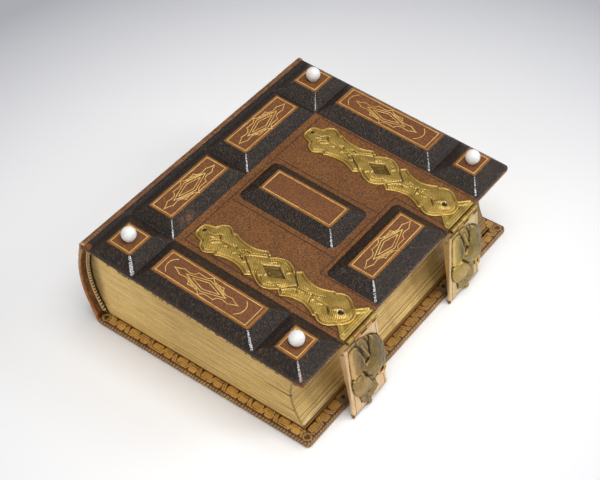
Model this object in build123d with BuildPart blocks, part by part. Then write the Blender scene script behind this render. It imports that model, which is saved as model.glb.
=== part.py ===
from build123d import *
import math
import os

os.makedirs("parts", exist_ok=True)

# ---------------------------------------------------------------- dimensions, mm
# Row frame: X spine (-) to fore-edge (+), Y tail (-) to head (+), Z up.
# Origin: centre of the back board's flat underside.
W = 127.0            # board width, spine edge to fore-edge
H = 163.3            # board height, tail to head
board_t = 3.2        # leather-covered board thickness
corner_r = 1.6       # board corner radius
edge_r = 0.9         # rounding of the board's edges
theta = 4.67         # fall of the front cover towards the fore-edge, degrees
fore_x = 62.92       # front cover's outer fore-edge, X
fore_z = 44.35       # front cover's outer fore-edge, Z

# page block
square = 5.5         # board overhang at tail and head
paper_t = 0.3        # endpapers
gap_paper = 0.1      # running gap between pastedown and flyleaf
block_half = H / 2 - square
fore_corner = 56.6   # page block's fore-edge corners, X
fore_hollow = 50.6   # deepest point of the hollow fore-edge, X

# spine
spine_x = -70.1      # outermost point of the rounded spine
spine_mid_z = 27.4
spine_lo = (-64.75, 4.7)
spine_hi = (-64.75, 50.4)
spine_t = 1.8
band_rise = 0.9
band_w = 4.0
band_ys = (-45.0, -11.5, 21.0, 56.0)

# hinges of the two boards
front_pivot = (-64.35, 53.0)
back_pivot = (-64.35, 2.05)

# raised panels on the front cover: top rectangle, foot rectangle (cx0, cx1, y0, y1)
panel_h = 5.0
HH = H / 2
ya, yb = -HH + 5.85, -HH + 20.36         # tail row, tops
foot_a, foot_b = -HH + 0.5, -HH + 28.0   # tail row, feet
panels = {
    "square_ts": ((11.9, 25.5, ya, yb), (5.6, 31.6, foot_a, foot_b)),
    "long_t": ((38.2, 92.9, ya, yb), (31.6, 99.6, foot_a, foot_b)),
    "square_tf": ((107.5, 119.6, ya, yb), (99.6, 125.8, foot_a, foot_b)),
    "spine_t": ((11.9, 25.5, -HH + 34.2, -HH + 75.3), (5.6, 31.6, foot_b, 0.0)),
    "centre": ((44.8, 85.7, -7.5, 7.5), (37.2, 92.4, -14.4, 14.4)),
    "fore": ((105.3, 118.9, -20.3, 20.3), (98.2, 125.8, -27.4, 27.4)),
}
for name in ("square_t|square_h", "long_t|long_h", "square_tf|square_hf", "spine_t|spine_h"):
    a, b = name.split("|")
    a = {"square_t": "square_ts"}.get(a, a)
    b = {"square_h": "square_hs"}.get(b, b)
    top, foot = panels[a]
    panels[b] = ((top[0], top[1], -top[3], -top[2]), (foot[0], foot[1], -foot[3], -foot[2]))

# ball studs
ball_r = 3.6
ball_rise = 3.0      # ball centre above the panel top
stud_pin_r = 0.75
stud_at = {
    "stud_tail_spine": (18.7, (ya + yb) / 2),
    "stud_tail_fore": (113.5, (ya + yb) / 2),
    "stud_head_spine": (18.7, -(ya + yb) / 2),
    "stud_head_fore": (113.5, -(ya + yb) / 2),
}

# straps
strap_t = 1.5
strap_y = (-41.5, 40.1)
strap_nails_x = (39.4, 117.2)
nail_r = 0.6
nail_head_r = 1.5

# clasp hinges
hinge_plate_t = 0.5
hinge_y = (-42.0, 39.4)
hinge_len = 21.0
knuckle_r = 1.25
pin_r = 0.6
pin_clear = 0.05
axis_cx = W + 1.3            # clasp hinge axis in the cover's plane
axis_cz = hinge_plate_t - knuckle_r

# clasps
clasp_y = (-44.0, 37.8)
clasp_w = 24.8
clasp_len = 42.4
clasp_t = 0.8
clasp_rest = (6.5, 3.0)      # outward swing of each hanging clasp, degrees
flange_top = 2.9
flange_low = 0.7
lip = 1.3

# catches on the back board
catch_w = 22.8
catch_in = 4.6
catch_t = 0.5

# ---------------------------------------------------------------- planes
ct, st = math.cos(math.radians(theta)), math.sin(math.radians(theta))
# the front cover's outer ground plane; local x runs from the spine edge, local y is Y
cover = Plane(origin=(fore_x - W * ct, 0, fore_z + W * st), x_dir=(ct, 0, -st), z_dir=(st, 0, ct))


def at_cover(cx, cz):
    """X and Z of a point given in the cover's own plane."""
    return (fore_x + (cx - W) * ct + cz * st, fore_z - (cx - W) * st + cz * ct)


axis_x, axis_z = at_cover(axis_cx, axis_cz)

# ---------------------------------------------------------------- front cover
with BuildPart() as front_cover:
    with BuildSketch(cover.offset(-board_t)):
        with Locations((W / 2, 0)):
            RectangleRounded(W, H, corner_r)
    extrude(amount=board_t)
    fillet(front_cover.faces().sort_by(Axis(cover.origin, cover.z_dir))[0].edges(), edge_r)
    for top, foot in panels.values():
        with BuildSketch(cover):
            with Locations(((foot[0] + foot[1]) / 2, (foot[2] + foot[3]) / 2)):
                Rectangle(foot[1] - foot[0], foot[3] - foot[2])
        with BuildSketch(cover.offset(panel_h)):
            with Locations(((top[0] + top[1]) / 2, (top[2] + top[3]) / 2)):
                Rectangle(top[1] - top[0], top[3] - top[2])
        loft()
    # holes for the stud pins and for the strap nails
    with BuildSketch(cover.offset(panel_h)):
        with Locations(*stud_at.values()):
            Circle(stud_pin_r + 0.05)
    extrude(amount=-(panel_h + 2.6), mode=Mode.SUBTRACT)
    with BuildSketch(cover):
        with Locations(*[(x, y) for x in strap_nails_x for y in strap_y]):
            Circle(nail_r + 0.05)
    extrude(amount=-2.6, mode=Mode.SUBTRACT)
front_cover.part.label = "front_cover"
export_step(front_cover.part, "parts/front_cover.step")

with BuildPart() as pastedown_front:
    with BuildSketch(cover.offset(-board_t - paper_t)):
        with Locations(((W - square) / 2 + 0.4, 0)):
            Rectangle(W - square - 0.8, H - 2 * square)
    extrude(amount=paper_t)
pastedown_front.part.label = "pastedown_front"
export_step(pastedown_front.part, "parts/pastedown_front.step")

# ---------------------------------------------------------------- ball studs
for stud_name, (sx, sy) in stud_at.items():
    with BuildPart() as stud:
        with BuildSketch(Plane(origin=cover.from_local_coords(Vector(sx, sy, panel_h)), x_dir=(0, 1, 0), z_dir=(ct, 0, -st))):
            # half section beside the ball's upright axis: local y points up out of the panel
            with BuildLine():
                foot_r = math.sqrt(ball_r ** 2 - ball_rise ** 2)
                a = ThreePointArc((foot_r, 0), (ball_r, ball_rise), (0, ball_rise + ball_r))
                Polyline((0, ball_rise + ball_r), (0, ball_rise + 1.0), (stud_pin_r + 0.02, ball_rise + 1.0), (stud_pin_r + 0.02, 0), (foot_r, 0))
            make_face()
        revolve(axis=Axis(cover.from_local_coords(Vector(sx, sy, panel_h)), cover.z_dir))
    stud.part.label = stud_name
    export_step(stud.part, "parts/" + stud_name + ".step")

with BuildPart() as stud_pins:
    with BuildSketch(cover.offset(panel_h + ball_rise + 0.9)):
        with Locations(*stud_at.values()):
            Circle(stud_pin_r)
    extrude(amount=-(panel_h + ball_rise + 0.9 + 2.5))
stud_pins.part.label = "stud_pins"
export_step(stud_pins.part, "parts/stud_pins.step")

# ---------------------------------------------------------------- straps
# half outline of the pressed strap, in runs between its notches: (distance along the cover, half width)
strap_runs = [
    [(36.1, 0), (36.6, 2.9), (38.2, 4.5), (40.2, 5.1), (41.9, 5.6)],
    [(41.9, 5.6), (43.4, 8.3), (46.4, 10.0), (49.0, 9.3), (51.2, 7.7)],
    [(51.2, 7.7), (52.6, 8.4)],
    [(52.6, 8.4), (56.0, 7.0), (61.0, 6.4), (65.5, 7.0), (70.3, 9.1)],
    [(70.3, 9.1), (73.4, 6.7)],
    [(73.4, 6.7), (76.0, 8.5), (80.2, 9.9), (84.4, 8.6), (86.9, 6.7)],
    [(86.9, 6.7), (89.8, 9.0)],
    [(89.8, 9.0), (94.0, 6.7), (99.5, 5.8), (104.0, 6.9), (107.6, 8.7)],
    [(107.6, 8.7), (108.8, 8.3)],
    [(108.8, 8.3), (110.8, 9.6), (113.6, 10.1), (116.8, 8.9), (119.2, 6.8)],
    [(119.2, 6.8), (121.4, 5.2), (123.1, 2.8), (123.7, 0)],
]
gusset = [(119.6, 5.4), (124.6, 10.5), (W, 10.5), (W, -10.5), (124.6, -10.5), (119.6, -5.4)]
for end, yc, yh in zip(("tail", "head"), strap_y, hinge_y):
    with BuildPart() as strap:
        with BuildSketch(cover):
            with BuildLine():
                for side in (1, -1):
                    for run in strap_runs:
                        pts = [(x, yc + side * v) for x, v in run]
                        if len(pts) > 2:
                            Spline(*pts)
                        else:
                            Line(*pts)
            make_face()
        extrude(amount=strap_t)
        # the strap's end rides over the hinge plate
        with BuildSketch(cover):
            with Locations(((119.6 + W) / 2 - 0.05, yh)):
                Rectangle(W - 119.6 + 0.1, hinge_len + 0.1)
        extrude(amount=hinge_plate_t + 0.01, mode=Mode.SUBTRACT)
        # nail holes
        with BuildSketch(cover):
            with Locations(*[(x, yc) for x in strap_nails_x]):
                Circle(nail_r + 0.05)
        extrude(amount=strap_t, mode=Mode.SUBTRACT)
    strap.part.label = "strap_" + end
    export_step(strap.part, "parts/strap_" + end + ".step")

with BuildPart() as strap_nails:
    with BuildSketch(cover.offset(-2.5)):
        with Locations(*[(x, y) for x in strap_nails_x for y in strap_y]):
            Circle(nail_r)
    extrude(amount=2.5 + strap_t)
    with BuildSketch(cover.offset(strap_t)):
        with Locations(*[(x, y) for x in strap_nails_x for y in strap_y]):
            Circle(nail_head_r)
    extrude(amount=0.7, taper=28)
strap_nails.part.label = "strap_nails"
export_step(strap_nails.part, "parts/strap_nails.step")

# ---------------------------------------------------------------- clasp hinges and clasps
def knuckles(count, first):
    """Spans along the hinge of every second knuckle."""
    step = hinge_len / count
    return [(-hinge_len / 2 + i * step + 0.1, -hinge_len / 2 + (i + 1) * step - 0.1) for i in range(first, count, 2)]


for end, yc, yh, rest in zip(("tail", "head"), clasp_y, hinge_y, clasp_rest):
    # hinge plate: a flat tongue with cut corners on the cover, rolled round the pin at the fore-edge
    with BuildPart() as hinge_plate:
        with BuildSketch(cover):
            Polygon(*[(x, yh + v) for x, v in gusset], align=None)
        extrude(amount=hinge_plate_t)
        for y0, y1 in knuckles(5, 0):
            with BuildSketch(Plane(origin=(0, yh + y1, 0), x_dir=(1, 0, 0), z_dir=(0, -1, 0))):
                with Locations((axis_x, axis_z)):
                    Circle(knuckle_r)
                with BuildLine():
                    Polyline(at_cover(W - 0.5, 0), at_cover(axis_cx, 0), at_cover(axis_cx, hinge_plate_t), at_cover(W - 0.5, hinge_plate_t), close=True)
                make_face()
                with Locations((axis_x, axis_z)):
                    Circle(pin_r, mode=Mode.SUBTRACT)
            extrude(amount=y1 - y0)
    hinge_plate.part.label = "hinge_plate_" + end
    export_step(hinge_plate.part, "parts/hinge_plate_" + end + ".step")

    with BuildPart() as hinge_pin:
        with BuildSketch(Plane(origin=(0, yh + hinge_len / 2, 0), x_dir=(1, 0, 0), z_dir=(0, -1, 0))):
            with Locations((axis_x, axis_z)):
                Circle(pin_r)
        extrude(amount=hinge_len)
    hinge_pin.part.label = "hinge_pin_" + end
    export_step(hinge_pin.part, "parts/hinge_pin_" + end + ".step")

    # the clasp hangs from the pin: local x points outwards from the plate, local y up along it, normal towards the tail
    r = math.radians(rest)
    out_dir = Vector(math.cos(r), 0, math.sin(r))
    hang = Plane(origin=(axis_x, 0, axis_z), x_dir=out_dir, z_dir=(0, -1, 0))
    outer = Plane(origin=hang.from_local_coords(Vector(knuckle_r, 0, 0)), x_dir=(0, 1, 0), z_dir=out_dir)
    # outer face of the plate: local x is Y, local y is up along the plate, normal outwards
    with BuildPart() as clasp_plate:
        with BuildSketch(hang.offset(-(yc + clasp_w / 2))):
            with BuildLine():
                # section of the plate: starts under the knuckles, ends in the inward lip
                Polyline((knuckle_r, -1.9), (knuckle_r, -clasp_len), (knuckle_r - clasp_t - lip, -clasp_len),
                         (knuckle_r - clasp_t - lip, -clasp_len + 0.8), (knuckle_r - clasp_t, -clasp_len + 0.8), (knuckle_r - clasp_t, -1.9), close=True)
            make_face()
        extrude(amount=clasp_w)
        # side flanges, deep near the hinge and shallow at the tip
        for y1 in (yc + clasp_w / 2, yc - clasp_w / 2 + clasp_t):
            with BuildSketch(hang.offset(-y1)):
                with BuildLine():
                    Polyline((knuckle_r - clasp_t / 2, -4.2), (knuckle_r - clasp_t - flange_top, -5.4),
                             (knuckle_r - clasp_t - flange_low, -clasp_len + 0.4), (knuckle_r - clasp_t / 2, -clasp_len + 0.4), close=True)
                make_face()
            extrude(amount=clasp_t)
        # knuckles
        for y0, y1 in knuckles(5, 1):
            with BuildSketch(hang.offset(-(yh + y1))):
                Circle(knuckle_r)
                with BuildLine():
                    Polyline((knuckle_r - clasp_t, 0), (knuckle_r, 0), (knuckle_r, -2.4), (knuckle_r - clasp_t, -2.4), close=True)
                make_face()
                Circle(pin_r + pin_clear, mode=Mode.SUBTRACT)
            extrude(amount=y1 - y0)
        # rivet holes
        with BuildSketch(outer):
            with Locations((yc - 4.2, -5.5), (yc - 1.4, -35.0)):
                Circle(0.75)
        extrude(amount=-clasp_t, mode=Mode.SUBTRACT)
    clasp_plate.part.label = "clasp_plate_" + end
    export_step(clasp_plate.part, "parts/clasp_plate_" + end + ".step")

    # pressed ornament: three overlapping raised lobes on the plate's outer face
    with BuildPart() as clasp_ornament:
        with BuildSketch(outer):
            with Locations((yc + 7.3, -16.0)):
                Ellipse(5.0, 11.6)
            with Locations((yc - 5.6, -11.0)):
                Ellipse(4.8, 8.6)
            with Locations((yc + 1.0, -20.0)):
                Ellipse(6.0, 5.0)
            with Locations((yc - 5.2, -25.5)):
                Ellipse(5.8, 6.6)
            with Locations((yc - 1.4, -34.5)):
                Ellipse(5.8, 6.6)
        extrude(amount=1.3)
        with BuildSketch(outer.offset(1.3)):
            with Locations((yc + 7.3, -16.0)):
                Ellipse(3.6, 9.8)
            with Locations((yc - 5.2, -25.5)):
                Ellipse(4.2, 4.8)
        extrude(amount=1.5)
        with BuildSketch(outer):
            with Locations((yc - 4.2, -5.5), (yc - 1.4, -35.0)):
                Circle(0.75)
        extrude(amount=2.8, mode=Mode.SUBTRACT)
    clasp_ornament.part.label = "clasp_ornament_" + end
    export_step(clasp_ornament.part, "parts/clasp_ornament_" + end + ".step")

    with BuildPart() as clasp_rivets:
        with BuildSketch(outer.offset(-clasp_t)):
            with Locations((yc - 4.2, -5.5), (yc - 1.4, -35.0)):
                Circle(0.72)
        extrude(amount=clasp_t + 1.3)
        with BuildSketch(outer.offset(1.3)):
            with Locations((yc - 4.2, -5.5), (yc - 1.4, -35.0)):
                Circle(1.2)
        extrude(amount=0.6, taper=25)
    clasp_rivets.part.label = "clasp_rivets_" + end
    export_step(clasp_rivets.part, "parts/clasp_rivets_" + end + ".step")

# ---------------------------------------------------------------- back cover
with BuildPart() as back_cover:
    with BuildSketch(Plane.XY):
        RectangleRounded(W, H, corner_r)
    extrude(amount=board_t)
    fillet(back_cover.faces().sort_by(Axis.Z)[0].edges(), 0.6)
    fillet(back_cover.faces().sort_by(Axis.Z)[-1].edges(), edge_r)
    # holes for the catch nails
    with BuildSketch(Plane.XY.offset(board_t)):
        with Locations(*[(W / 2 - 2.9, y + d) for y in clasp_y for d in (-8.0, 8.0)]):
            Circle(0.5)
    extrude(amount=-2.2, mode=Mode.SUBTRACT)
back_cover.part.label = "back_cover"
export_step(back_cover.part, "parts/back_cover.step")

with BuildPart() as pastedown_back:
    with BuildSketch(Plane.XY.offset(board_t)):
        with Locations((-square / 2, 0)):
            Rectangle(W - square - 0.8, H - 2 * square)
    extrude(amount=paper_t)
pastedown_back.part.label = "pastedown_back"
export_step(pastedown_back.part, "parts/pastedown_back.step")

for end, yc in zip(("tail", "head"), clasp_y):
    with BuildPart() as catch:
        with BuildSketch(Plane(origin=(0, yc + catch_w / 2, 0), x_dir=(1, 0, 0), z_dir=(0, -1, 0))):
            with BuildLine():
                # follows the board's rounded edge and ends on its fore-edge
                k = math.sqrt(0.5)
                ax, az = W / 2 - edge_r, board_t - edge_r
                Polyline((ax, board_t), (W / 2 - catch_in, board_t), (W / 2 - catch_in, board_t + catch_t), (ax, board_t + catch_t))
                ThreePointArc((ax, board_t + catch_t), (ax + k * (edge_r + catch_t), az + k * (edge_r + catch_t)), (W / 2 + catch_t, az))
                Polyline((W / 2 + catch_t, az), (W / 2 + catch_t, 0.9), (W / 2, 0.9), (W / 2, az))
                ThreePointArc((W / 2, az), (ax + k * edge_r, az + k * edge_r), (ax, board_t))
            make_face()
        extrude(amount=catch_w)
        with BuildSketch(Plane.XY.offset(board_t)):
            with Locations((W / 2 - 2.9, yc - 8.0), (W / 2 - 2.9, yc + 8.0)):
                Circle(0.5)
        extrude(amount=catch_t, mode=Mode.SUBTRACT)
    catch.part.label = "catch_" + end
    export_step(catch.part, "parts/catch_" + end + ".step")

with BuildPart() as catch_nails:
    with BuildSketch(Plane.XY.offset(board_t - 2.1)):
        with Locations(*[(W / 2 - 2.9, y + d) for y in clasp_y for d in (-8.0, 8.0)]):
            Circle(0.46)
    extrude(amount=2.1 + catch_t)
    with BuildSketch(Plane.XY.offset(board_t + catch_t)):
        with Locations(*[(W / 2 - 2.9, y + d) for y in clasp_y for d in (-8.0, 8.0)]):
            Circle(0.95)
    extrude(amount=0.35, taper=25)
catch_nails.part.label = "catch_nails"
export_step(catch_nails.part, "parts/catch_nails.step")

# ---------------------------------------------------------------- spine
side = Plane.XZ      # local x is X, local y is Z, normal towards the tail
sag_c = ((spine_lo[0] + spine_hi[0]) / 2, (spine_lo[1] + spine_hi[1]) / 2)
chord = spine_hi[1] - spine_lo[1]
sag = sag_c[0] - spine_x
arc_r = (chord ** 2 / 4 + sag ** 2) / (2 * sag)
arc_cx = spine_x + arc_r
arc_cz = sag_c[1]


def on_arc(offset, z):
    """X on the spine's arc, moved inwards by offset, at height z."""
    return arc_cx - math.sqrt((arc_r - offset) ** 2 - (z - arc_cz) ** 2)


with BuildPart() as spine:
    with BuildSketch(side):
        with BuildLine():
            ThreePointArc(spine_lo, (spine_x, arc_cz), spine_hi)
            Line(spine_hi, (on_arc(spine_t, spine_hi[1] - 0.6), spine_hi[1] - 0.6))
            ThreePointArc((on_arc(spine_t, spine_hi[1] - 0.6), spine_hi[1] - 0.6), (spine_x + spine_t, arc_cz), (on_arc(spine_t, spine_lo[1] + 0.6), spine_lo[1] + 0.6))
            Line((on_arc(spine_t, spine_lo[1] + 0.6), spine_lo[1] + 0.6), spine_lo)
        make_face()
    extrude(amount=HH, both=True)
    for yb_ in band_ys:
        with BuildSketch(side.offset(-(yb_ + band_w / 2))):
            z0, z1 = spine_lo[1] + 1.2, spine_hi[1] - 1.2
            with BuildLine():
                ThreePointArc((on_arc(0.2, z0), z0), (spine_x - band_rise, arc_cz), (on_arc(0.2, z1), z1))
                ThreePointArc((on_arc(0.2, z1), z1), (spine_x + 0.9, arc_cz), (on_arc(0.2, z0), z0))
            make_face()
        extrude(amount=band_w)
spine.part.label = "spine"
export_step(spine.part, "parts/spine.step")

# ---------------------------------------------------------------- pages
flat_lo = board_t + paper_t + gap_paper        # underside of the rear flyleaf
top_cz = -(board_t + paper_t + gap_paper)      # upper side of the front flyleaf, in the cover's plane
back_off = spine_t + 0.15
cx_hi = 1.5


def block_profile(lo_z, hi_cz, grow):
    """Corners of the page block's section between two leaves."""
    x_lo = on_arc(back_off, lo_z + 1.0)
    hx, hz = at_cover(cx_hi + 0.2, hi_cz)
    return x_lo, hx, hz


with BuildPart() as page_block:
    lo = flat_lo + paper_t
    hi_cz = top_cz - paper_t
    px, pz = at_cover(1.6, hi_cz)
    fx, fz = at_cover(W - 5.9, hi_cz)
    with BuildSketch(side):
        with BuildLine():
            Line((-62.9, lo), (fore_corner, lo))
            ThreePointArc((fore_corner, lo), (fore_hollow, (lo + fz) / 2 - 2.0), (fx, fz))
            Line((fx, fz), (px, pz))
            Line((px, pz), (on_arc(back_off, pz - 1.6), pz - 1.6))
            ThreePointArc((on_arc(back_off, pz - 1.6), pz - 1.6), (spine_x + back_off, arc_cz), (on_arc(back_off, lo + 1.6), lo + 1.6))
            Line((on_arc(back_off, lo + 1.6), lo + 1.6), (-62.9, lo))
        make_face()
    extrude(amount=block_half, both=True)
page_block.part.label = "page_block"
export_step(page_block.part, "parts/page_block.step")

with BuildPart() as flyleaf_back:
    with BuildSketch(Plane.XY.offset(flat_lo)):
        with Locations(((-62.6 + fore_corner + 0.7) / 2, 0)):
            Rectangle(fore_corner + 0.7 + 62.6, 2 * block_half + 0.4)
    extrude(amount=paper_t)
flyleaf_back.part.label = "flyleaf_back"
export_step(flyleaf_back.part, "parts/flyleaf_back.step")

with BuildPart() as flyleaf_front:
    with BuildSketch(cover.offset(top_cz - paper_t)):
        with Locations(((1.7 + W - 5.2) / 2, 0)):
            Rectangle(W - 5.2 - 1.7, 2 * block_half + 0.4)
    extrude(amount=paper_t)
flyleaf_front.part.label = "flyleaf_front"
export_step(flyleaf_front.part, "parts/flyleaf_front.step")

# worked headbands on the block's two ends, just inside the spine
for end, y_near in (("tail", -block_half), ("head", block_half + 1.5)):
    with BuildPart() as headband:
        with BuildSketch(side.offset(-y_near)):
            z0, z1 = 7.0, 48.0
            with BuildLine():
                ThreePointArc((on_arc(spine_t + 0.1, z0), z0), (spine_x + spine_t + 0.1, arc_cz), (on_arc(spine_t + 0.1, z1), z1))
                Line((on_arc(spine_t + 0.1, z1), z1), (on_arc(spine_t + 2.0, z1 - 0.4), z1 - 0.4))
                ThreePointArc((on_arc(spine_t + 2.0, z1 - 0.4), z1 - 0.4), (spine_x + spine_t + 2.0, arc_cz), (on_arc(spine_t + 2.0, z0 + 0.4), z0 + 0.4))
                Line((on_arc(spine_t + 2.0, z0 + 0.4), z0 + 0.4), (on_arc(spine_t + 0.1, z0), z0))
            make_face()
        extrude(amount=1.5)
    headband.part.label = "headband_" + end
    export_step(headband.part, "parts/headband_" + end + ".step")

print("clasp hinge axis", round(axis_x, 3), round(axis_z, 3))
print("front cover spine corner", [round(v, 3) for v in at_cover(0, 0)])
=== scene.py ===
import math

import bmesh
import bpy
import numpy as np
from mathutils import Matrix, Vector


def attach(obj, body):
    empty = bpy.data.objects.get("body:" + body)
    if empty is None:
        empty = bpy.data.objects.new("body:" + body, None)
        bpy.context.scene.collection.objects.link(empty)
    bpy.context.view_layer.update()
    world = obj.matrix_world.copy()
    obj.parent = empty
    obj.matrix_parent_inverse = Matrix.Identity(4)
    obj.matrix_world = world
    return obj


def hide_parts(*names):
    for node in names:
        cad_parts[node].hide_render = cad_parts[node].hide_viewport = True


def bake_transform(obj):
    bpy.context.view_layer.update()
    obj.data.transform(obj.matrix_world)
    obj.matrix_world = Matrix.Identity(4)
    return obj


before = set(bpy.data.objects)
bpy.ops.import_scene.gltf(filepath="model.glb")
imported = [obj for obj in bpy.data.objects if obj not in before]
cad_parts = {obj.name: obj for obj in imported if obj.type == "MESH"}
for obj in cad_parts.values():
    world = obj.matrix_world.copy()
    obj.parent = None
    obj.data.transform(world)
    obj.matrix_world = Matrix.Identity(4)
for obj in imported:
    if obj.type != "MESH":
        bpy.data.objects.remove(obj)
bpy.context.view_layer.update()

# ------------------------------------------------------------------ camera
cam_data = bpy.data.cameras.new("camera")
cam_data.sensor_fit = "HORIZONTAL"
cam_data.sensor_width = 36.0
cam_data.lens = 36.0 * 1341.59 / 600.0
cam_data.clip_start = 0.01
cam_data.clip_end = 20.0
cam = bpy.data.objects.new("camera", cam_data)
bpy.context.scene.collection.objects.link(cam)
c_right = Vector((0.7927, 0.6076, -0.0497)).normalized()
c_fwd = Vector((-0.4537, 0.5336, -0.7138)).normalized()
c_down = c_fwd.cross(c_right).normalized()
c_right = c_down.cross(c_fwd).normalized()
c_up = -c_down
c_back = -c_fwd
cam.matrix_world = Matrix((
    (c_right.x, c_up.x, c_back.x, 0.28986),
    (c_right.y, c_up.y, c_back.y, -0.34386),
    (c_right.z, c_up.z, c_back.z, 0.48399),
    (0, 0, 0, 1)))
bpy.context.scene.camera = cam

# ------------------------------------------------------------------ dimensions, mm, as in the frame
W, H = 127.0, 163.3
HH = H / 2
board_t = 3.2
theta = math.radians(4.67)
ct, st = math.cos(theta), math.sin(theta)
fore_x, fore_z = 62.92, 44.35
panel_h = 5.0
square = 5.5
ya, yb = -HH + 5.85, -HH + 20.36
PANELS = {
    "square_ts": ((11.9, 25.5, ya, yb), (5.6, 31.6, -HH + 0.5, -HH + 28.0)),
    "long_t": ((38.2, 92.9, ya, yb), (31.6, 99.6, -HH + 0.5, -HH + 28.0)),
    "square_tf": ((107.5, 119.6, ya, yb), (99.6, 125.8, -HH + 0.5, -HH + 28.0)),
    "spine_t": ((11.9, 25.5, -HH + 34.2, -HH + 75.3), (5.6, 31.6, -HH + 28.0, 0.0)),
    "centre": ((44.8, 85.7, -7.5, 7.5), (37.2, 92.4, -14.4, 14.4)),
    "fore": ((105.3, 118.9, -20.3, 20.3), (98.2, 125.8, -27.4, 27.4)),
}
for a, b in (("square_ts", "square_hs"), ("long_t", "long_h"), ("square_tf", "square_hf"), ("spine_t", "spine_h")):
    t, f = PANELS[a]
    PANELS[b] = ((t[0], t[1], -t[3], -t[2]), (f[0], f[1], -f[3], -f[2]))


def cover_to_row(P):
    """Cover coordinates (along the cover, Y, above its ground) to the row frame, mm."""
    P = np.asarray(P, float)
    x, y, z = P[..., 0], P[..., 1], P[..., 2]
    return np.stack([fore_x + (x - W) * ct + z * st, y, fore_z - (x - W) * st + z * ct], -1)


def smooth01(t):
    t = np.clip(t, 0, 1)
    return t * t * (3 - 2 * t)


# ------------------------------------------------------------------ smooth value noise for shapes
def vnoise(P, scale, seed=0):
    """Smooth noise in -1..1 at points P (n, 3), with cells of size scale."""
    P = np.asarray(P, float) / scale + seed * 17.31
    i = np.floor(P).astype(np.int64)
    f = P - i
    f = f * f * (3 - 2 * f)
    out = 0
    for dx in (0, 1):
        for dy in (0, 1):
            for dz in (0, 1):
                h = (i[..., 0] + dx) * 374761393 + (i[..., 1] + dy) * 668265263 + (i[..., 2] + dz) * 2147483647 + seed * 144665
                h = (h ^ (h >> 13)) * 1274126177
                h = h ^ (h >> 16)
                v = (h & 0xFFFF) / 32767.5 - 1
                out = out + v * (f[..., 0] if dx else 1 - f[..., 0]) * (f[..., 1] if dy else 1 - f[..., 1]) * (f[..., 2] if dz else 1 - f[..., 2])
    return out


def noise1(t, scale, seed=0):
    t = np.asarray(t, float)
    return vnoise(np.stack([t, np.full_like(t, 0.37), np.full_like(t, 0.71)], -1), scale, seed)


# ------------------------------------------------------------------ meshes
def make_mesh(name, verts_mm, quads=None, tris=None, attrs=None, body=None, mats=(), face_mat=None, smooth=True):
    verts = np.asarray(verts_mm, np.float32).reshape(-1, 3) * 0.001
    faces = []
    counts = []
    if quads is not None and len(quads):
        q = np.asarray(quads, np.int32).reshape(-1, 4)
        faces.append(q.ravel())
        counts.append(np.full(len(q), 4, np.int32))
    if tris is not None and len(tris):
        t = np.asarray(tris, np.int32).reshape(-1, 3)
        faces.append(t.ravel())
        counts.append(np.full(len(t), 3, np.int32))
    loops = np.concatenate(faces)
    counts = np.concatenate(counts)
    me = bpy.data.meshes.new(name)
    me.vertices.add(len(verts))
    me.vertices.foreach_set("co", verts.ravel())
    me.loops.add(len(loops))
    me.loops.foreach_set("vertex_index", loops)
    me.polygons.add(len(counts))
    starts = np.concatenate([[0], np.cumsum(counts)[:-1]]).astype(np.int32)
    me.polygons.foreach_set("loop_start", starts)
    me.polygons.foreach_set("loop_total", counts)
    if face_mat is not None:
        me.polygons.foreach_set("material_index", np.asarray(face_mat, np.int32))
    me.update(calc_edges=True)
    me.validate()
    me.polygons.foreach_set("use_smooth", np.full(len(me.polygons), smooth))
    for key, val in (attrs or {}).items():
        val = np.asarray(val, np.float32)
        if val.ndim == 1:
            a = me.attributes.new(key, "FLOAT", "POINT")
            a.data.foreach_set("value", val)
        else:
            a = me.attributes.new(key, "FLOAT_VECTOR", "POINT")
            a.data.foreach_set("vector", val.ravel())
    for m in mats:
        me.materials.append(m)
    ob = bpy.data.objects.new(name, me)
    bpy.context.scene.collection.objects.link(ob)
    if body:
        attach(ob, body)
    return ob


def grid_quads(n, m, wrap_u=False, wrap_v=False, flip=False, base=0):
    nu = n if wrap_u else n - 1
    nv = m if wrap_v else m - 1
    i, j = np.meshgrid(np.arange(nu), np.arange(nv), indexing="ij")
    i, j = i.ravel(), j.ravel()
    i2, j2 = (i + 1) % n, (j + 1) % m
    q = np.stack([i * m + j, i2 * m + j, i2 * m + j2, i * m + j2], -1) + base
    return q[:, ::-1] if flip else q


def sharp_by_angle(ob, deg):
    me = ob.data
    bm = bmesh.new()
    bm.from_mesh(me)
    lim = math.radians(deg)
    for e in bm.edges:
        if len(e.link_faces) == 2 and e.calc_face_angle(0) > lim:
            e.smooth = False
    bm.to_mesh(me)
    bm.free()


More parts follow.
